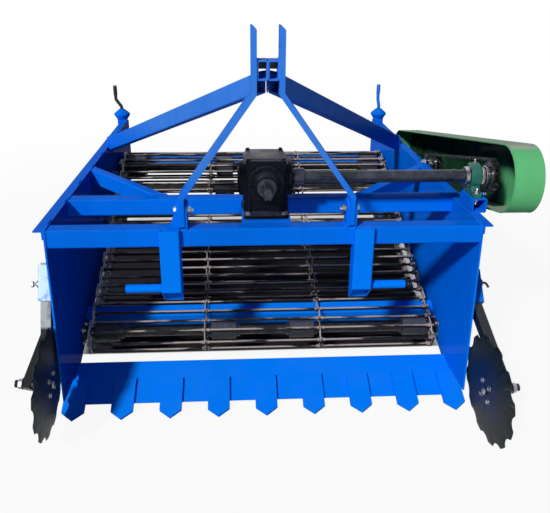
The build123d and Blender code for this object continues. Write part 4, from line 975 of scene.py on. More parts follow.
def gearbox_shells(low, top, cover_top):
    """Stepped body with a foot flange and a lip, and the lid with its raised middle."""
    flange_top = low + BOX_FLANGE
    body = box_levels((
        (low, BOX_WIDE + 2, BOX_LONG + 36),
        (flange_top - 3, BOX_WIDE + 2, BOX_LONG + 36),
        (flange_top, BOX_WIDE - 4, BOX_LONG + 30),
        (flange_top + 6, BOX_WIDE - 10, BOX_LONG - 8),
        (top - 24, BOX_WIDE - 10, BOX_LONG - 8),
        (top - 14, BOX_WIDE, BOX_LONG),
        (top, BOX_WIDE, BOX_LONG),
    ), 11)
    lid = box_levels((
        (top + 0.8, BOX_WIDE - 12, BOX_LONG - 2),
        (top + 8, BOX_WIDE - 12, BOX_LONG - 2),
        (cover_top - 1.5, BOX_WIDE - 18, BOX_LONG - 8),
        (cover_top - 1.5, BOX_WIDE - 40, BOX_LONG - 34),
        (cover_top, BOX_WIDE - 44, BOX_LONG - 38),
    ), 9)
    return [body, lid]


def gearbox_caps():
    """Turned bearing caps on the front and on both sides."""
    front = (
        (24, 34), (24, 43), (27, 45.5), (36, 45.5), (38, 44), (38, 40), (40, 38.5), (42, 37), (42, 16),
        (45, 13), (60, 12), (61, 11), (61, -2),
    )
    flank = (
        (22, 8), (22, 20.5), (32, 20.5), (34, 18), (35, 16), (56, 16), (58, 14), (58, 3), (60, 1), (60, -8),
    )
    caps = [lathe(front, (0.0, BOX_FRONT + 4, SHAFT_Z), (0, -1, 0), 48)]
    for _, side in SIDES:
        caps.append(lathe(flank, (side * BOX_WIDE / 2, SHAFT_Y, SHAFT_Z), (side, 0, 0), 40))
    return caps


def gearbox_ribs(flange_top):
    """Two short ribs in front, and two tall ones on each side."""
    short = ((0, 0), (9, 0), (3, 62), (0, 62))
    tall = ((0, 0), (8, 0), (6, 128), (0, 128))
    ribs = [upright_web(short, (x - 4, BOX_FRONT + 5, flange_top - 2), (0, -1, 0)) for x in (-48.0, 48.0)]
    for _, side in SIDES:
        for y in (BOX_FRONT + 25, BOX_BACK - 25):
            ribs.append(upright_web(tall, (side * 66, y + side * 4, flange_top), (side, 0, 0)))
    return ribs


def gearbox():
    """Cast case: stepped body with a lid, ribs and bearing caps on three sides, and its bolts."""
    low = corners("gearbox_housing")[0][2]
    flange_top = low + BOX_FLANGE
    (_, _, top), (_, _, cover_top), _ = corners("gearbox_cover")
    case = join(*gearbox_shells(low, top, cover_top), *gearbox_caps(), *gearbox_ribs(flange_top))
    build("gearbox_case", case, "gearbox_paint", replaces=("gearbox_housing", "gearbox_cover"))
    lid_places = [(x, y, cover_top - 2) for x in (-56, 56) for y in (BOX_FRONT + 11, BOX_BACK - 11)]
    front_places = ring_places(6, 53.5, (0, BOX_FRONT - 8, SHAFT_Z), Y_AXIS, 0.5)
    sets = [bolts(8, lid_places, Z_AXIS), bolts(7, front_places, (0, -1, 0), washer=False)]
    for _, side in SIDES:
        places = ring_places(6, 46, (side * (BOX_WIDE / 2 + 16), SHAFT_Y, SHAFT_Z), X_AXIS, 0.5)
        sets.append(bolts(7, places, (side, 0, 0), washer=False))
    build("gearbox_bolts", join(*sets), "dark_steel", material=gear_iron)
    feet = [(x, y, flange_top) for x in (-58, 58) for y in (BOX_FRONT - 9, BOX_BACK + 9)]
    build("gearbox_foot_bolts", bolts(11, feet, Z_AXIS), "zinc_steel")


def repeated_outline(count, shares, reaches):
    """Outline of a toothed wheel: the same corners once a tooth, at shares of its angle and their reaches."""
    turn = (np.arange(count)[:, None] + np.array(shares)) * 2 * np.pi / count
    return np.stack((reaches * np.cos(turn), reaches * np.sin(turn)), axis=2).reshape(-1, 2)


def input_shaft():
    """Six splines with a lock groove and chamfered end, then a plain shoulder into the case."""
    low, _, (_, _, axis_z) = corners("input_shaft")
    across, upward = repeated_outline(6, (-0.26, 0.26, 0.26, 0.74), np.array((17.4, 17.4, 14.0, 14.0))).T
    lengthwise = ((0, 0.86), (2.2, 1), (14, 1), (15, 0.84), (19, 0.84), (20, 1), (80, 1))    # distance, size
    rings = [line(across * size, low[1] + at, upward * size + axis_z) for at, size in lengthwise]
    shoulder = ((17, 0), (21.5, 0), (22.5, 1.5), (22.5, 44))
    shoulder = lathe(shoulder, (0, low[1] + 78, axis_z), Y_AXIS, 32)
    ring = lathe(((20, 0), (30, 1), (31, 3), (31, 8)), (0, low[1] + 82, axis_z), Y_AXIS, 32)
    shaft = join(skin(rings), shoulder, ring)
    build("splined_input", shaft, "dark_steel", replaces=("input_shaft",), material=shaft_steel)


def shaft_fittings():
    """Coupling sleeve on the drive shaft next to the case, and a ring near its bearing."""
    sleeve = ((21.1, 0), (30, 0), (31, 1), (31, 34), (29, 36), (25, 36), (25, 41), (21.1, 42))
    ring = ((21.1, 0), (23.2, 1), (23.2, 10), (21.1, 11))
    places = ((sleeve, 96.0), (ring, 640.0))
    fittings = [lathe(profile, (x, SHAFT_Y, SHAFT_Z), X_AXIS, 36) for profile, x in places]
    build("shaft_coupling", join(*fittings), "dark_steel", material=shaft_steel)


def bearing_stand():
    """Cast bearing stand: a bolted foot under a round seat, which has a raised rim on each face."""
    low, high, middle = corners("shaft_bearing_block")
    dome = 44.6 * arc(math.radians(-38), math.radians(218), 25) + (SHAFT_Y, SHAFT_Z)
    (_, front, foot), (_, back, _) = low, high
    base = ((front, foot), (back, foot), (back, foot + 13), (back - 4, foot + 16))
    neck = ((SHAFT_Y + 42, foot + 18), *dome, (SHAFT_Y - 42, foot + 18))
    outline = np.vstack((base, neck, ((front + 4, foot + 16), (front, foot + 13))))
    stand = prism(outline, (low[0], 0, 0), Y_AXIS, Z_AXIS, high[0] - low[0], 2.5)
    rim = ((33, 0), (33, 16), (35, 18), (39, 18), (41, 16), (41, 0))
    seat = (middle[0], SHAFT_Y, SHAFT_Z)
    rims = [lathe(rim, seat, (side, 0, 0), 40, True) for _, side in SIDES]
    build("bearing_stand", join(stand, *rims), "teal_paint", replaces=("shaft_bearing_block",))


def bearing_fittings():
    """The stand's grease nipple, its two collars with their set screws, its foot bolts and a nut below."""
    low, high, (x, _, _) = corners("shaft_bearing_block")
    collar = (
        (21.3, 13), (33, 13), (33, 16), (27, 17), (27, 19), (31, 20), (31, 32), (29.5, 33.5), (21.3, 33.5),
    )
    collars = [lathe(collar, (x, SHAFT_Y, SHAFT_Z), (side, 0, 0), 40, True) for _, side in SIDES]
    places = [(x + side * 26, SHAFT_Y - 21, SHAFT_Z + 22) for _, side in SIDES]
    screws = bolts(6, places, (0, -0.7, 0.72), washer=False)
    build("bearing_collars", join(*collars, screws), "zinc_steel", material=polished)
    nipple = ((5, -2), (5, 4), (3, 5), (3, 9), (4, 10), (2.5, 13))
    grease = lathe(nipple, (x, SHAFT_Y, SHAFT_Z + 44.6), Z_AXIS, 12)
    feet = [(x, y, low[2] + 15) for y in (low[1] + 12, high[1] - 12)]
    tube_top = corners("bearing_support")[1][2]
    under = bolts(11, (x, low[1] + 12, tube_top - 5), (0, 0, -1), end=10)
    build("bearing_fasteners", join(grease, bolts(11, feet, Z_AXIS, end=9), under), "zinc_steel")


def belt_line(front, rear, count):
    """Evenly spread places (y, z) round two circles and the belt between them, and the belt's length.

    Each circle is (y, z, radius). The line starts where it leaves the front circle's top, runs back to
    the rear circle, round it, forward underneath and round the front circle.
    """
    front_y, front_z, front_r = front
    rear_y, rear_z, rear_r = rear
    slope = math.atan2(rear_z - front_z, rear_y - front_y)
    lead = math.asin((rear_r - front_r) / math.hypot(rear_y - front_y, rear_z - front_z))
    upper = slope + lead + np.pi / 2
    lower = slope - lead - np.pi / 2
    round_rear = arc(upper, lower, 300) * rear_r + (rear_y, rear_z)
    round_front = arc(lower, upper - 2 * np.pi, 300) * front_r + (front_y, front_z)
    places, _, length = evenly(np.vstack((round_front[-1:], round_rear, round_front)), count=count)
    return places, length


def at_x(x, places):
    """The (y, z) places with one x for all, or an x of their own."""
    return np.column_stack((np.broadcast_to(x, len(places)), places))


def to_next(places):
    """Mean distance from each (y, z) place round a loop to the next, and the angle of each such step."""
    step = np.roll(places, -1, axis=0) - places
    return np.linalg.norm(step, axis=1).mean(), np.arctan2(step[:, 1], step[:, 0])


SPROCKETS = {                    # pitch radius, teeth, hub radius
    "drive_sprocket": (54.0, 17, 34.0),
    "idler_sprocket": (30.0, 10, 18.0),
    "driven_sprocket": (68.0, 22, 40.0),
}
CHAIN_STEP = 19.4                # the chain's pitch, evened out to a whole number of pairs of links
LINK_HALF = 5.6                  # half the height of a chain plate at its ends


def sprockets():
    """Toothed wheels: the outline goes root, flank, tip, tip, flank, root once a tooth, with a hub behind."""
    for node, (pitch_radius, teeth, hub) in SPROCKETS.items():
        low, high, middle = corners(node)
        reaches = pitch_radius + np.array((-6.3, -5.0, -0.5, 5.2, 5.2, -0.5, -5.0))
        outline = middle[1:] + repeated_outline(teeth, (0.0, 0.16, 0.30, 0.42, 0.58, 0.70, 0.84), reaches)
        wheel = prism(outline, (low[0], 0, 0), Y_AXIS, Z_AXIS, high[0] - low[0], 1.2)
        face = np.array((high[0], *middle[1:]))
        screws = bolts(6, ring_places(4, hub * 0.78, face, X_AXIS), X_AXIS, washer=False)
        build(node + "_toothed", join(wheel, screws), "dark_steel", replaces=(node,), material=tooth_steel)
        inner = lathe(((hub, 1), (hub, -18), (hub - 2, -20)), (low[0], *middle[1:]), X_AXIS, 28)
        nut = bolts(16, face - (1, 0, 0), X_AXIS, end=4)
        build(node + "_hub", join(inner, nut), "zinc_steel", material=polished)


def chain():
    """Roller chain: inner and outer plate pairs in turn along the belt line, with a roller at each joint."""
    front = (*corners("drive_sprocket")[2][1:], SPROCKETS["drive_sprocket"][0])
    rear = (*corners("driven_sprocket")[2][1:], SPROCKETS["driven_sprocket"][0])
    length = belt_line(front, rear, 1)[1]
    line_places, _ = belt_line(front, rear, 2 * round(length / CHAIN_STEP / 2))
    step, turn = to_next(line_places)
    ends = arc(-np.pi / 2, np.pi / 2, 5) * LINK_HALF
    waist = LINK_HALF * 0.72
    outline = np.vstack((ends + (step, 0), ((step / 2, waist),), -ends, ((step / 2, -waist),)))
    places = at_x(corners("drive_chain")[2][0], line_places)
    rolls = about_x(turn)
    inner = join(*[prism(outline, (x, 0, 0), Y_AXIS, Z_AXIS, 2.0) for x in (-8.2, 6.2)])
    outer = join(*[prism(outline, (x, 0, 0), Y_AXIS, Z_AXIS, 2.0) for x in (-10.6, 8.6)])
    roller = lathe(((4.8, -6), (4.8, 6)), AT_ORIGIN, X_AXIS, 8)
    pin = lathe(((2.4, -11.9), (2.4, 11.9)), AT_ORIGIN, X_AXIS, 6)
    parts = join(
        copies(inner, places[::2], rolls[::2]),
        copies(outer, places[1::2], rolls[1::2]),
        copies(roller, places),
        copies(pin, places),
    )
    build("roller_chain", parts, "dark_steel", replaces=("drive_chain",))


GUARD_ROUNDS = (114.0, 140.0)    # outer radius of the guard's front and rear end


def guard_rim(low, high, x, inset, radius):
    """Round bead along the guard's outline at one x, its middle line set in from the outline."""
    front, rear = GUARD_ROUNDS
    front = (low[1] + front, high[2] - front, front - inset)
    rear = (high[1] - rear, low[2] + rear, rear - inset)
    path = at_x(x, belt_line(front, rear, 320)[0])
    return sweep(path, circle(radius, 6), X_AXIS, closed=True)


def guard_trim():
    """Rolled lip along the guard's open edge, its outer seam, and the nuts on the ends of its stays."""
    low, high, _ = corners("chain_guard")
    lip = guard_rim(low, high, low[0] + 0.5, 1.5, 2.6)
    seam = guard_rim(low, high, high[0] - 1.6, 0.4, 1.5)
    build("guard_lip", join(lip, seam), "green_paint")
    stay_low, stay_high, _ = corners("guard_stays")
    nuts = []
    for y, z in ((stay_low[1] + 8, stay_high[2] - 8), (stay_high[1] - 8, stay_low[2] + 8)):
        nuts.append(bolts(11, (high[0] - 3, y, z), (-1, 0, 0)))
        nuts.append(bolts(11, (PLATE_OUT, y, z), X_AXIS))
    build("guard_nuts", join(*nuts), "zinc_steel")


def tensioner_fittings():
    """Nuts on the idler's axle, its outer cheek, and an adjusting screw with its block and lock nut."""
    x = corners("chain_tensioner")[0][0]
    idler = corners("idler_sprocket")[2]
    y, z = idler[1:]
    nut = bolts(15, (x + 8, y, z), X_AXIS)
    back = bolts(15, (x, y, z), (-1, 0, 0), end=8)
    screw = lathe(threaded(5.0, 0.0, 46.0), (x + 16, y - 52, z + 4), Y_AXIS, 12)
    block = prism(rounded_box(20, 22, 2), (x + 16, y - 28, z + 4), (-1, 0, 0), Z_AXIS, 10.0, 1.0)
    lock = bolts(9, (x + 16, y - 40, z + 4), (0, -1, 0), washer=False)
    cheek_x = idler[0] + 15
    end_nut = bolts(13, (cheek_x + 5, y, z), X_AXIS, end=4)
    build("tensioner_fittings", join(nut, back, screw, block, lock, end_nut), "zinc_steel")
    cheek = prism(rounded_box(34, 70, 12), (cheek_x, y, z), Y_AXIS, Z_AXIS, 5.0, 0.6)
    build("tensioner_cheek", cheek, "dark_steel")


# ---- Rod web, rollers and drive wheels -----------------------------------------------------
WEB_FRONT = (304.0, 140.0, 43.0)    # y, z and radius of the rods' path at the front
WEB_REAR_RADIUS = 70.0
WEB_STEP = 50.0                  # from rod to rod, evened out to a whole number of rods
ROD_HALF = 5.5                   # half a rod's diameter
OUTER_HOOK_X = 661.0
INNER_HOOK_X = 223.0
HOOK_WIRES = ((-OUTER_HOOK_X, 3.2), (-INNER_HOOK_X, 2.5), (INNER_HOOK_X, 2.5), (OUTER_HOOK_X, 3.2))
ROLLER_WHEELS = (-602.0, -152.0, 152.0, 602.0)
WHEEL_WIDE = 95.0
DRUM_WIDE = 84.0
WHEEL_RIBS = 14


def web_line():
    """Places of the rods along their path, which runs round the drive shaft's middle."""
    rear = (*shaft_centres()[2], WEB_REAR_RADIUS)
    length = belt_line(WEB_FRONT, rear, 1)[1]
    return belt_line(WEB_FRONT, rear, round(length / WEB_STEP))[0]


def hook_links():
    """Wire hooks that tie each rod to the next: an oblong loop round both, beside the one before."""
    places = web_line()
    gap, turn = to_next(places)
    rows = []
    for x, wire in HOOK_WIRES:
        half = arc(-np.pi / 2, np.pi / 2, 5) * (ROD_HALF + wire)
        loop = at_x(0.0, np.vstack((half + (gap, 0), -half)))
        hook = sweep(loop, circle(wire, 5), X_AXIS, closed=True)
        aside = x + np.where(np.arange(len(places)) % 2, wire + 0.3, -wire - 0.3)
        rows.append(copies(hook, at_x(aside, places), about_x(turn)))
    build("rod_hooks", join(*rows[1:]), "worn_steel", replaces=("web_links",), material=hook_steel)
    # the left row is pale, as painted light on hooks that lie in shade
    build("left_rod_hooks", rows[0], "worn_steel", material=pale_lit_hooks)


def rod_knots():
    """Upset collars on each rod: grooved barrels beside the outer hooks, short ones beside the inner."""
    places = web_line()
    grooved = ((6, -6), (9.5, -5), (9.5, -1), (7.5, 0), (9.5, 1), (9.5, 5), (6, 6))
    barrel = lathe(grooved, AT_ORIGIN, X_AXIS, 8)
    short = lathe(((6, -4), (8, -3), (8, 3), (6, 4)), AT_ORIGIN, X_AXIS, 8)
    parts = [copies(barrel, at_x(x, places)) for x in (-OUTER_HOOK_X + 11.5, OUTER_HOOK_X - 11.5)]
    for row in (-INNER_HOOK_X, INNER_HOOK_X):
        parts += [copies(short, at_x(row + aside, places)) for aside in (-10.5, 10.5)]
    build("rod_knots", join(*parts), "zinc_steel", material=knot_steel)


def ribbed_wheel(radius, x, y, z):
    """Rubber-faced wheel: its edge goes up and down between the ribs' tops and hollows across the width."""
    at = np.linspace(0, WHEEL_WIDE, WHEEL_RIBS * 4 + 1)
    rib = np.array((0.0, 1.0, 1.0, 0.0))[np.arange(len(at)) % 4]
    edge = np.stack((radius - 2.2 + 2.2 * rib, at), axis=1)
    profile = np.vstack(((19.0, 0.0), (radius - 6, 0.0), edge, (radius - 6, WHEEL_WIDE), (19.0, WHEEL_WIDE)))
    return lathe(profile, (x - WHEEL_WIDE / 2, y, z), X_AXIS, 40)


def turned_bar(low, high, radius, sides):
    """Round bar along X through the middle of its box, with chamfered ends."""
    length = high[0] - low[0]
    profile = ((radius - 1.5, 0), (radius, 1.5), (radius, length - 1.5), (radius - 1.5, length))
    middle = (low + high) / 2
    return lathe(profile, (low[0], middle[1], middle[2]), X_AXIS, sides)


def rollers():
    """Front and support rollers: a shaft with a shoulder at each wheel and four ribbed wheels."""
    stop = ((17, -8), (24, -8), (24, 8), (17, 8))
    for node in ("front_roller", "support_roller"):
        low, high, (_, y, z) = corners(node)
        stops = [lathe(stop, (x + side * 54, y, z), X_AXIS, 24) for x in ROLLER_WHEELS for _, side in SIDES]
        wheels = [ribbed_wheel(high[2] - z, x, y, z) for x in ROLLER_WHEELS]
        shaft = join(turned_bar(low, high, 17.5, 28), *stops)
        build(node + "_shaft", shaft, "dark_steel", replaces=(node,))
        build(node + "_wheels", join(*wheels), "dark_steel", material=wheel_rubber)


def drive_wheels():
    """Web drive shaft: four drums with rounded teeth on their edge, and hubs on a turned shaft."""
    low, high, (_, y, z) = corners("web_drive_shaft")
    turn = round_turn(72)
    reach = high[2] - z - 5 + 5 * np.abs(np.cos(4.5 * turn)) ** 0.7
    outline = np.stack((reach * np.cos(turn) + y, reach * np.sin(turn) + z), axis=1)
    drums = [prism(outline, (x - DRUM_WIDE / 2, 0, 0), Y_AXIS, Z_AXIS, DRUM_WIDE, 2.0) for x in ROLLER_WHEELS]
    hub = ((21, -52), (32, -52), (33, -50), (33, 50), (32, 52), (21, 52))
    hubs = [lathe(hub, (x, y, z), X_AXIS, 32) for x in ROLLER_WHEELS]
    build("drive_drums", join(*drums), "dark_steel", material=wheel_rubber)
    axle = join(turned_bar(low, high, 20.0, 32), *hubs)
    build("drive_axle", axle, "dark_steel", replaces=("web_drive_shaft",))


# ---- Discs, wheels and cranks --------------------------------------------------------------
DISC_X = 718.0                   # from the centreline to a disc's centre
DISC_RADIUS = 185.0
DISC_DISH = 9.0
DISC_EDGE = 0.8                  # half thickness at the sharpened rim
DISC_HALF = 2.4
NOTCHES = 12
NOTCH_RADIUS = 36.0
NOTCH_OUT = 20.0                 # from the disc's edge out to a notch's centre
DISC_LEAN = math.radians(3.0)
DISC_TOE = {"left": 0.0, "right": math.radians(3.5)}
SHANK_FOOT_X = 776.0             # from the centreline to a disc arm's lower end
DISC_BOLTS = (4, 36.0)           # number of flange bolts, and radius of their circle
CRANK_THROW = {"left": (-28.0, 0.0), "right": (0.0, 39.0)}    # from a post's middle to the grip
CRANK_PAINT = {"left": "black_paint", "right": "blue_paint"}


def disc_frame(name, side):
    """Centre and outward axis of a disc, from the middle of its box and the axle's lean and toe."""
    toe = DISC_TOE[name]
    level = math.cos(DISC_LEAN)
    axis = np.array((side * level * math.cos(toe), math.sin(toe), math.sin(DISC_LEAN) * math.cos(toe)))
    return np.array((side * DISC_X, *corners(name + "_disc")[2][1:])), axis


def notched_reach(turn):
    """Distance from a disc's centre to its rim at each angle: the full radius, or a notch's near side."""
    step = 2 * np.pi / NOTCHES
    aside = (turn + step / 2) % step - step / 2
    far = DISC_RADIUS + NOTCH_OUT
    under = NOTCH_RADIUS ** 2 - (far * np.sin(aside)) ** 2
    near = far * np.cos(aside) - np.sqrt(np.maximum(under, 0))
    return np.where(under > 0, np.minimum(near, DISC_RADIUS), DISC_RADIUS)


def dished_disc(name, side):
    """Dished and notched disc: rings out to the rim, z = -dish (1 - (r/R)^2), thinned to a sharp edge."""
    centre, axis = disc_frame(name, side)
    turn = round_turn(300)
    share = np.array((0.12, 0.2, 0.3, 0.4, 0.5, 0.6, 0.7, 0.8, 0.88, 0.95, 0.985, 1.0))
    half = np.where(share < 0.9, DISC_HALF, np.minimum(DISC_EDGE + (1 - share) * 16, DISC_HALF))
    radius = share[:, None] * notched_reach(turn)[None]
    dish = -DISC_DISH * (1 - (radius / DISC_RADIUS) ** 2)
    across = unit(np.cross(Y_AXIS, axis))
    flat = centre + radius[..., None] * spokes(turn, np.cross(axis, across), across)[None]
    outer, inner = [flat + (dish + sign * half[:, None])[..., None] * axis for sign in (1, -1)]
    finish = disc_steel_painted_sky(name + "_disc_steel", (centre * MILLIMETRE + ORIGIN).tolist())
    rings = np.concatenate((outer, inner[::-1]))
    build(name + "_notched_disc", skin(rings), "black_paint", name + "_disc_body", (name + "_disc",), finish)


def disc_hub(name, side):
    """Hub on a disc: a flange, a barrel out towards the shank, an end cap, and four bolts with their nuts."""
    centre, axis = disc_frame(name, side)
    floor = centre - axis * DISC_DISH
    body = name + "_disc_body"
    flange = (
        (9, -8), (12, -8), (13, -7), (13, -1), (45, 1.5), (46, 2.5), (46, 6), (44, 7), (30, 7), (27, 9),
        (27, 12), (25, 14), (25, 34), (22, 35),
    )
    build(name + "_disc_hub", lathe(flange, floor, axis, 40), "black_paint", body)
    heads = bolts(9, ring_places(*DISC_BOLTS, floor - axis * 1.6, axis, math.pi / 4), -axis)
    cap = lathe(((11, 0), (11, 2), (9, 4), (3, 4.5)), floor - axis * 7.5, -axis, 20)
    places = ring_places(*DISC_BOLTS, floor + axis * 6.5, axis, math.pi / 4)
    nuts = bolts(9, places, axis, washer=False, end=3)
    build(name + "_disc_bolts", join(heads, cap, nuts), "zinc_steel", body)


def shank_nuts(name, side):
    """Nut and washer on the axle's outer end, and a collar on the axle between hub and shank."""
    centre, axis = disc_frame(name, side)
    shank_face = (SHANK_FOOT_X + SHANK / 2 - DISC_X) / abs(axis[0]) + 1.0
    nut = bolts(19, centre + axis * shank_face, axis, end=8)
    collar = lathe(((12.7, 0), (18, 0), (18, 6), (16, 8), (12.7, 8)), centre + axis * 44.0, axis, 24, True)
    build(name + "_axle_nut", join(nut, collar), "zinc_steel")


TREAD_BARS = 32
TREAD_DEEP = 4.0
BEAD_RADIUS = 105.5              # inner radius of a tyre, where it sits on its rim
HALF_TYRE = (                    # share of the width from the middle, and height over the bead
    (0.36, 0), (0.46, 3), (0.5, 12), (0.5, 50), (0.47, 74), (0.40, 88), (0.31, 93.5), (0.22, 94.2),
    (0.20, 89), (0.11, 89), (0.09, 94.5),
)


def tyre(name):
    """Ribbed tyre: a closed section turned round the wheel's axis, with cross bars at its shoulders."""
    low, high, middle = corners(name + "_tyre")
    outer = (high[2] - low[2]) / 2
    width = high[0] - low[0]
    share, height = np.array(HALF_TYRE).T
    across = np.concatenate((-share, share[::-1])) * width
    reach = np.concatenate((height, height[::-1])) / height.max() * (outer - BEAD_RADIUS) + BEAD_RADIUS
    turn = round_turn(192)
    hollow = np.sin(turn * TREAD_BARS) <= 0.2
    shoulder = (np.abs(across) > 0.3 * width) & (reach > outer - 22)
    radius = reach[:, None] - TREAD_DEEP * shoulder[:, None] * hollow[None]
    rings = np.stack((
        np.broadcast_to(middle[0] + across[:, None], radius.shape),
        middle[1] + radius * np.cos(turn)[None],
        middle[2] + radius * np.sin(turn)[None],
    ), axis=2)
    tread = skin(rings, closed=True)
    build(name + "_ribbed_tyre", tread, "tyre_rubber", name + "_wheel_body", (name + "_tyre",))


def wheel_fittings(name, side):
    """Five wheel bolts with their washers on the wheel disc, and their nuts behind it."""
    middle = corners(name + "_wheel_rim")[2]
    out = np.array((side * 3.0, 0, 0))
    heads = bolts(12, ring_places(5, 62, middle + out, X_AXIS), (side, 0, 0))
    nuts = bolts(12, ring_places(5, 62, middle - out, X_AXIS), (-side, 0, 0), washer=False, end=5)
    build(name + "_wheel_bolts", join(heads, nuts), "zinc_steel", name + "_wheel_body")


def crank_grip(name, side):
    """A rounded grip turned about the upper end of each crank, which stays with the frame."""
    top = corners(name + "_crank_screw")[1][2]
    post_y = corners(name + "_wheel_post")[2][1]
    throw_x, throw_y = CRANK_THROW[name]
    foot = (side * (PLATE_OUT + POST_HALF) + throw_x, post_y + throw_y, top - 52)
    grip = lathe(((9.1, 0), (10.5, 1), (10.8, 30), (10.8, 44), (9, 49.5), (5, 51)), foot, Z_AXIS, 20)
    build(name + "_crank_grip", grip, CRANK_PAINT[name])


mast_hardware()
mast_foot_webs()
mast_shade_plate()
frame_welds()
hitch_welds()
rail_and_mount_welds()
post_and_sleeve_welds()
sleeve_clamps()
blade_welds()
plate_fasteners()
gearbox()
input_shaft()
shaft_fittings()
bearing_stand()
bearing_fittings()
sprockets()
chain()
guard_trim()
tensioner_fittings()
hook_links()
rod_knots()
rollers()
drive_wheels()
for side_name, side in SIDES:
    dished_disc(side_name, side)
    disc_hub(side_name, side)
    shank_nuts(side_name, side)
    tyre(side_name)
    wheel_fittings(side_name, side)
    crank_grip(side_name, side)


# ---- Stage, light and camera -------------------------------------------------------------
CAMERA_FROM_BEAM = np.array((-0.101, -1.9521, 0.714))    # from the beam's top front edge, at its middle
CAMERA_YAW = 0.064
CAMERA_PITCH = 0.393
CAMERA_ROLL = 0.009
CAMERA_LENS = 43.04
SENSOR = 36.0

WHITE = (1.0, 1.0, 1.0)
FLOOR_SIZE = 40.0
FLOOR_COLOURS = ((0.54, 0.54, 0.55), (0.60, 0.60, 0.60))
FLOOR_GLOW = 0.92                        # share of plain white that the camera sees near the object
FLOOR_NEAR = (2.0, 4.5)                  # that share rises to one between these distances
SHADE_HALF_WIDTH = (0.71, 0.90)          # half the width of the dark floor under the web, front and back
SHADE_FROM = 0.43                        # from this far behind the front beam's face
SHADE_TO = 1.7
SHADE_FADE = 0.7
SHADE_EDGE = 0.01
SHADE_SIDE_FADE = 0.12
UNDER_WEB = (0.025, 0.025, 0.028)        # painted shadow: the floor's colour there stands in for the machine's own deep shadow
SUN_TO_LIGHT = np.array((-1.0, -1.55, 1.26))             # towards the key light
SUN_STRENGTH = 3.25
SUN_COLOUR = (1.0, 0.985, 0.96)
SUN_ANGLE = math.radians(5)
SKY_COLOUR = (0.50, 0.66, 1.0)
SKY_LIGHT = 0.16


def look_matrix(place, forward, roll=0.0):
    """Camera frame at a place: its minus Z looks forward, its X is level before it is rolled."""
    forward = unit(forward)
    right = unit(np.cross(forward, Z_AXIS))
    up = np.cross(right, forward)
    matrix = np.eye(4)
    matrix[:3, 0] = math.cos(roll) * right + math.sin(roll) * up
    matrix[:3, 1] = math.cos(roll) * up - math.sin(roll) * right
    matrix[:3, 2] = -forward
    matrix[:3, 3] = place
    return matrix.T.tolist()


def white_over(n, lit, share, white):
    """A lit shader, with the white one over it by the share where a camera, gloss or glass ray looks."""
    path = n.add("ShaderNodeLightPath").outputs
    seen = n.either(n.either(path["Is Camera Ray"], path["Is Glossy Ray"]), path["Is Transmission Ray"])
    mix = n.add("ShaderNodeMixShader")
    n.join(n.times(seen, share), mix.inputs["Fac"])
    n.join(lit.outputs[0], mix.inputs[1])
    n.join(white.outputs[0], mix.inputs[2])
    return mix.outputs[0]


def make_world():
    """Faint blue sky light, behind plain white."""
    n = Nodes("studio", "worlds")
    bpy.context.scene.world = n.owner
    sky = n.fill(n.add("ShaderNodeBackground"), Color=SKY_COLOUR, Strength=SKY_LIGHT)
    white = n.fill(n.add("ShaderNodeBackground"), Color=WHITE)
    n.end(white_over(n, sky, 1.0, white), "ShaderNodeOutputWorld")


def under_web(n):
    """One on the floor under the web, nought elsewhere, dying away behind the machine."""
    off_middle = n.maths("ABSOLUTE", n.maths("SUBTRACT", n.place("X"), float(ORIGIN[0])))
    back = n.maths("SUBTRACT", n.place("Y"), BEAM_FACE)
    half = n.ramp(back, SHADE_FROM, SHADE_TO + SHADE_FADE, *SHADE_HALF_WIDTH)
    aside = n.ramp(n.maths("SUBTRACT", off_middle, half), 0.0, SHADE_SIDE_FADE, 1.0, 0.0)
    behind = n.ramp(back, SHADE_TO, SHADE_TO + SHADE_FADE, 1.0, 0.0)
    return n.times(aside, n.times(n.ramp(back, SHADE_FROM, SHADE_FROM + SHADE_EDGE), behind))


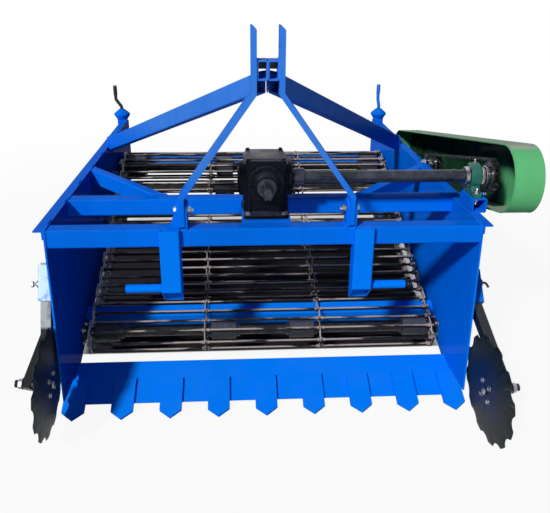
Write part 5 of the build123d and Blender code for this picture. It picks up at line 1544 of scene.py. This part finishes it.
def floor_glow(n, under):
    """Share of white: all of it far off, less near the object to show its shadow, none under the web."""
    reach = n.add("ShaderNodeVectorMath", operation="LENGTH")
    n.join(n.coordinates, reach.inputs[0])
    near = n.ramp(reach.outputs["Value"], *FLOOR_NEAR, FLOOR_GLOW, 1.0)
    return n.times(near, n.maths("SUBTRACT", 1.0, under))


def make_floor():
    """Square pale floor: its lit shader carries the shadow, under a share of plain white, and under the web
    its colour is a painted dark shadow.
    """
    n = Nodes("studio_floor")
    under = under_web(n)
    # painted shadow: the floor's colour goes dark under the web
    colour = n.mix(under, n.mix(n.noise(2.0, 3), *FLOOR_COLOURS), UNDER_WEB)
    lit = n.fill(n.add("ShaderNodeBsdfDiffuse"), Color=colour)
    glow = n.fill(n.add("ShaderNodeEmission"), Color=WHITE)
    n.end(white_over(n, lit, floor_glow(n, under), glow), "ShaderNodeOutputMaterial")
    half = FLOOR_SIZE / 2
    mesh = bpy.data.meshes.new("studio_floor")
    square = [(-half, -half, 0), (half, -half, 0), (half, half, 0), (-half, half, 0)]
    mesh.from_pydata(square, [], [(0, 1, 2, 3)])
    mesh.materials.append(n.owner)
    link("studio_floor", mesh)


def make_light():
    """One wide sun from the front left."""
    sun = bpy.data.lights.new("key_light", "SUN")
    sun.energy = SUN_STRENGTH
    sun.angle = SUN_ANGLE
    sun.color = SUN_COLOUR
    link("key_light", sun).matrix_world = look_matrix(np.zeros(3), -SUN_TO_LIGHT)


def make_camera():
    """Camera at its place in front of the machine, turned by its yaw, pitch and roll."""
    camera = bpy.data.cameras.new("camera")
    camera.sensor_fit = "HORIZONTAL"
    camera.sensor_width = SENSOR
    camera.lens = CAMERA_LENS
    thing = link("camera", camera)
    place = np.array((ORIGIN[0], ORIGIN[1], beam_box[1][2])) + CAMERA_FROM_BEAM
    level = math.cos(CAMERA_PITCH)
    forward = (math.sin(CAMERA_YAW) * level, math.cos(CAMERA_YAW) * level, -math.sin(CAMERA_PITCH))
    thing.matrix_world = look_matrix(place, forward, CAMERA_ROLL)
    bpy.context.scene.camera = thing


make_world()
make_floor()
make_light()
make_camera()
bpy.context.scene.view_settings.view_transform = "Standard"
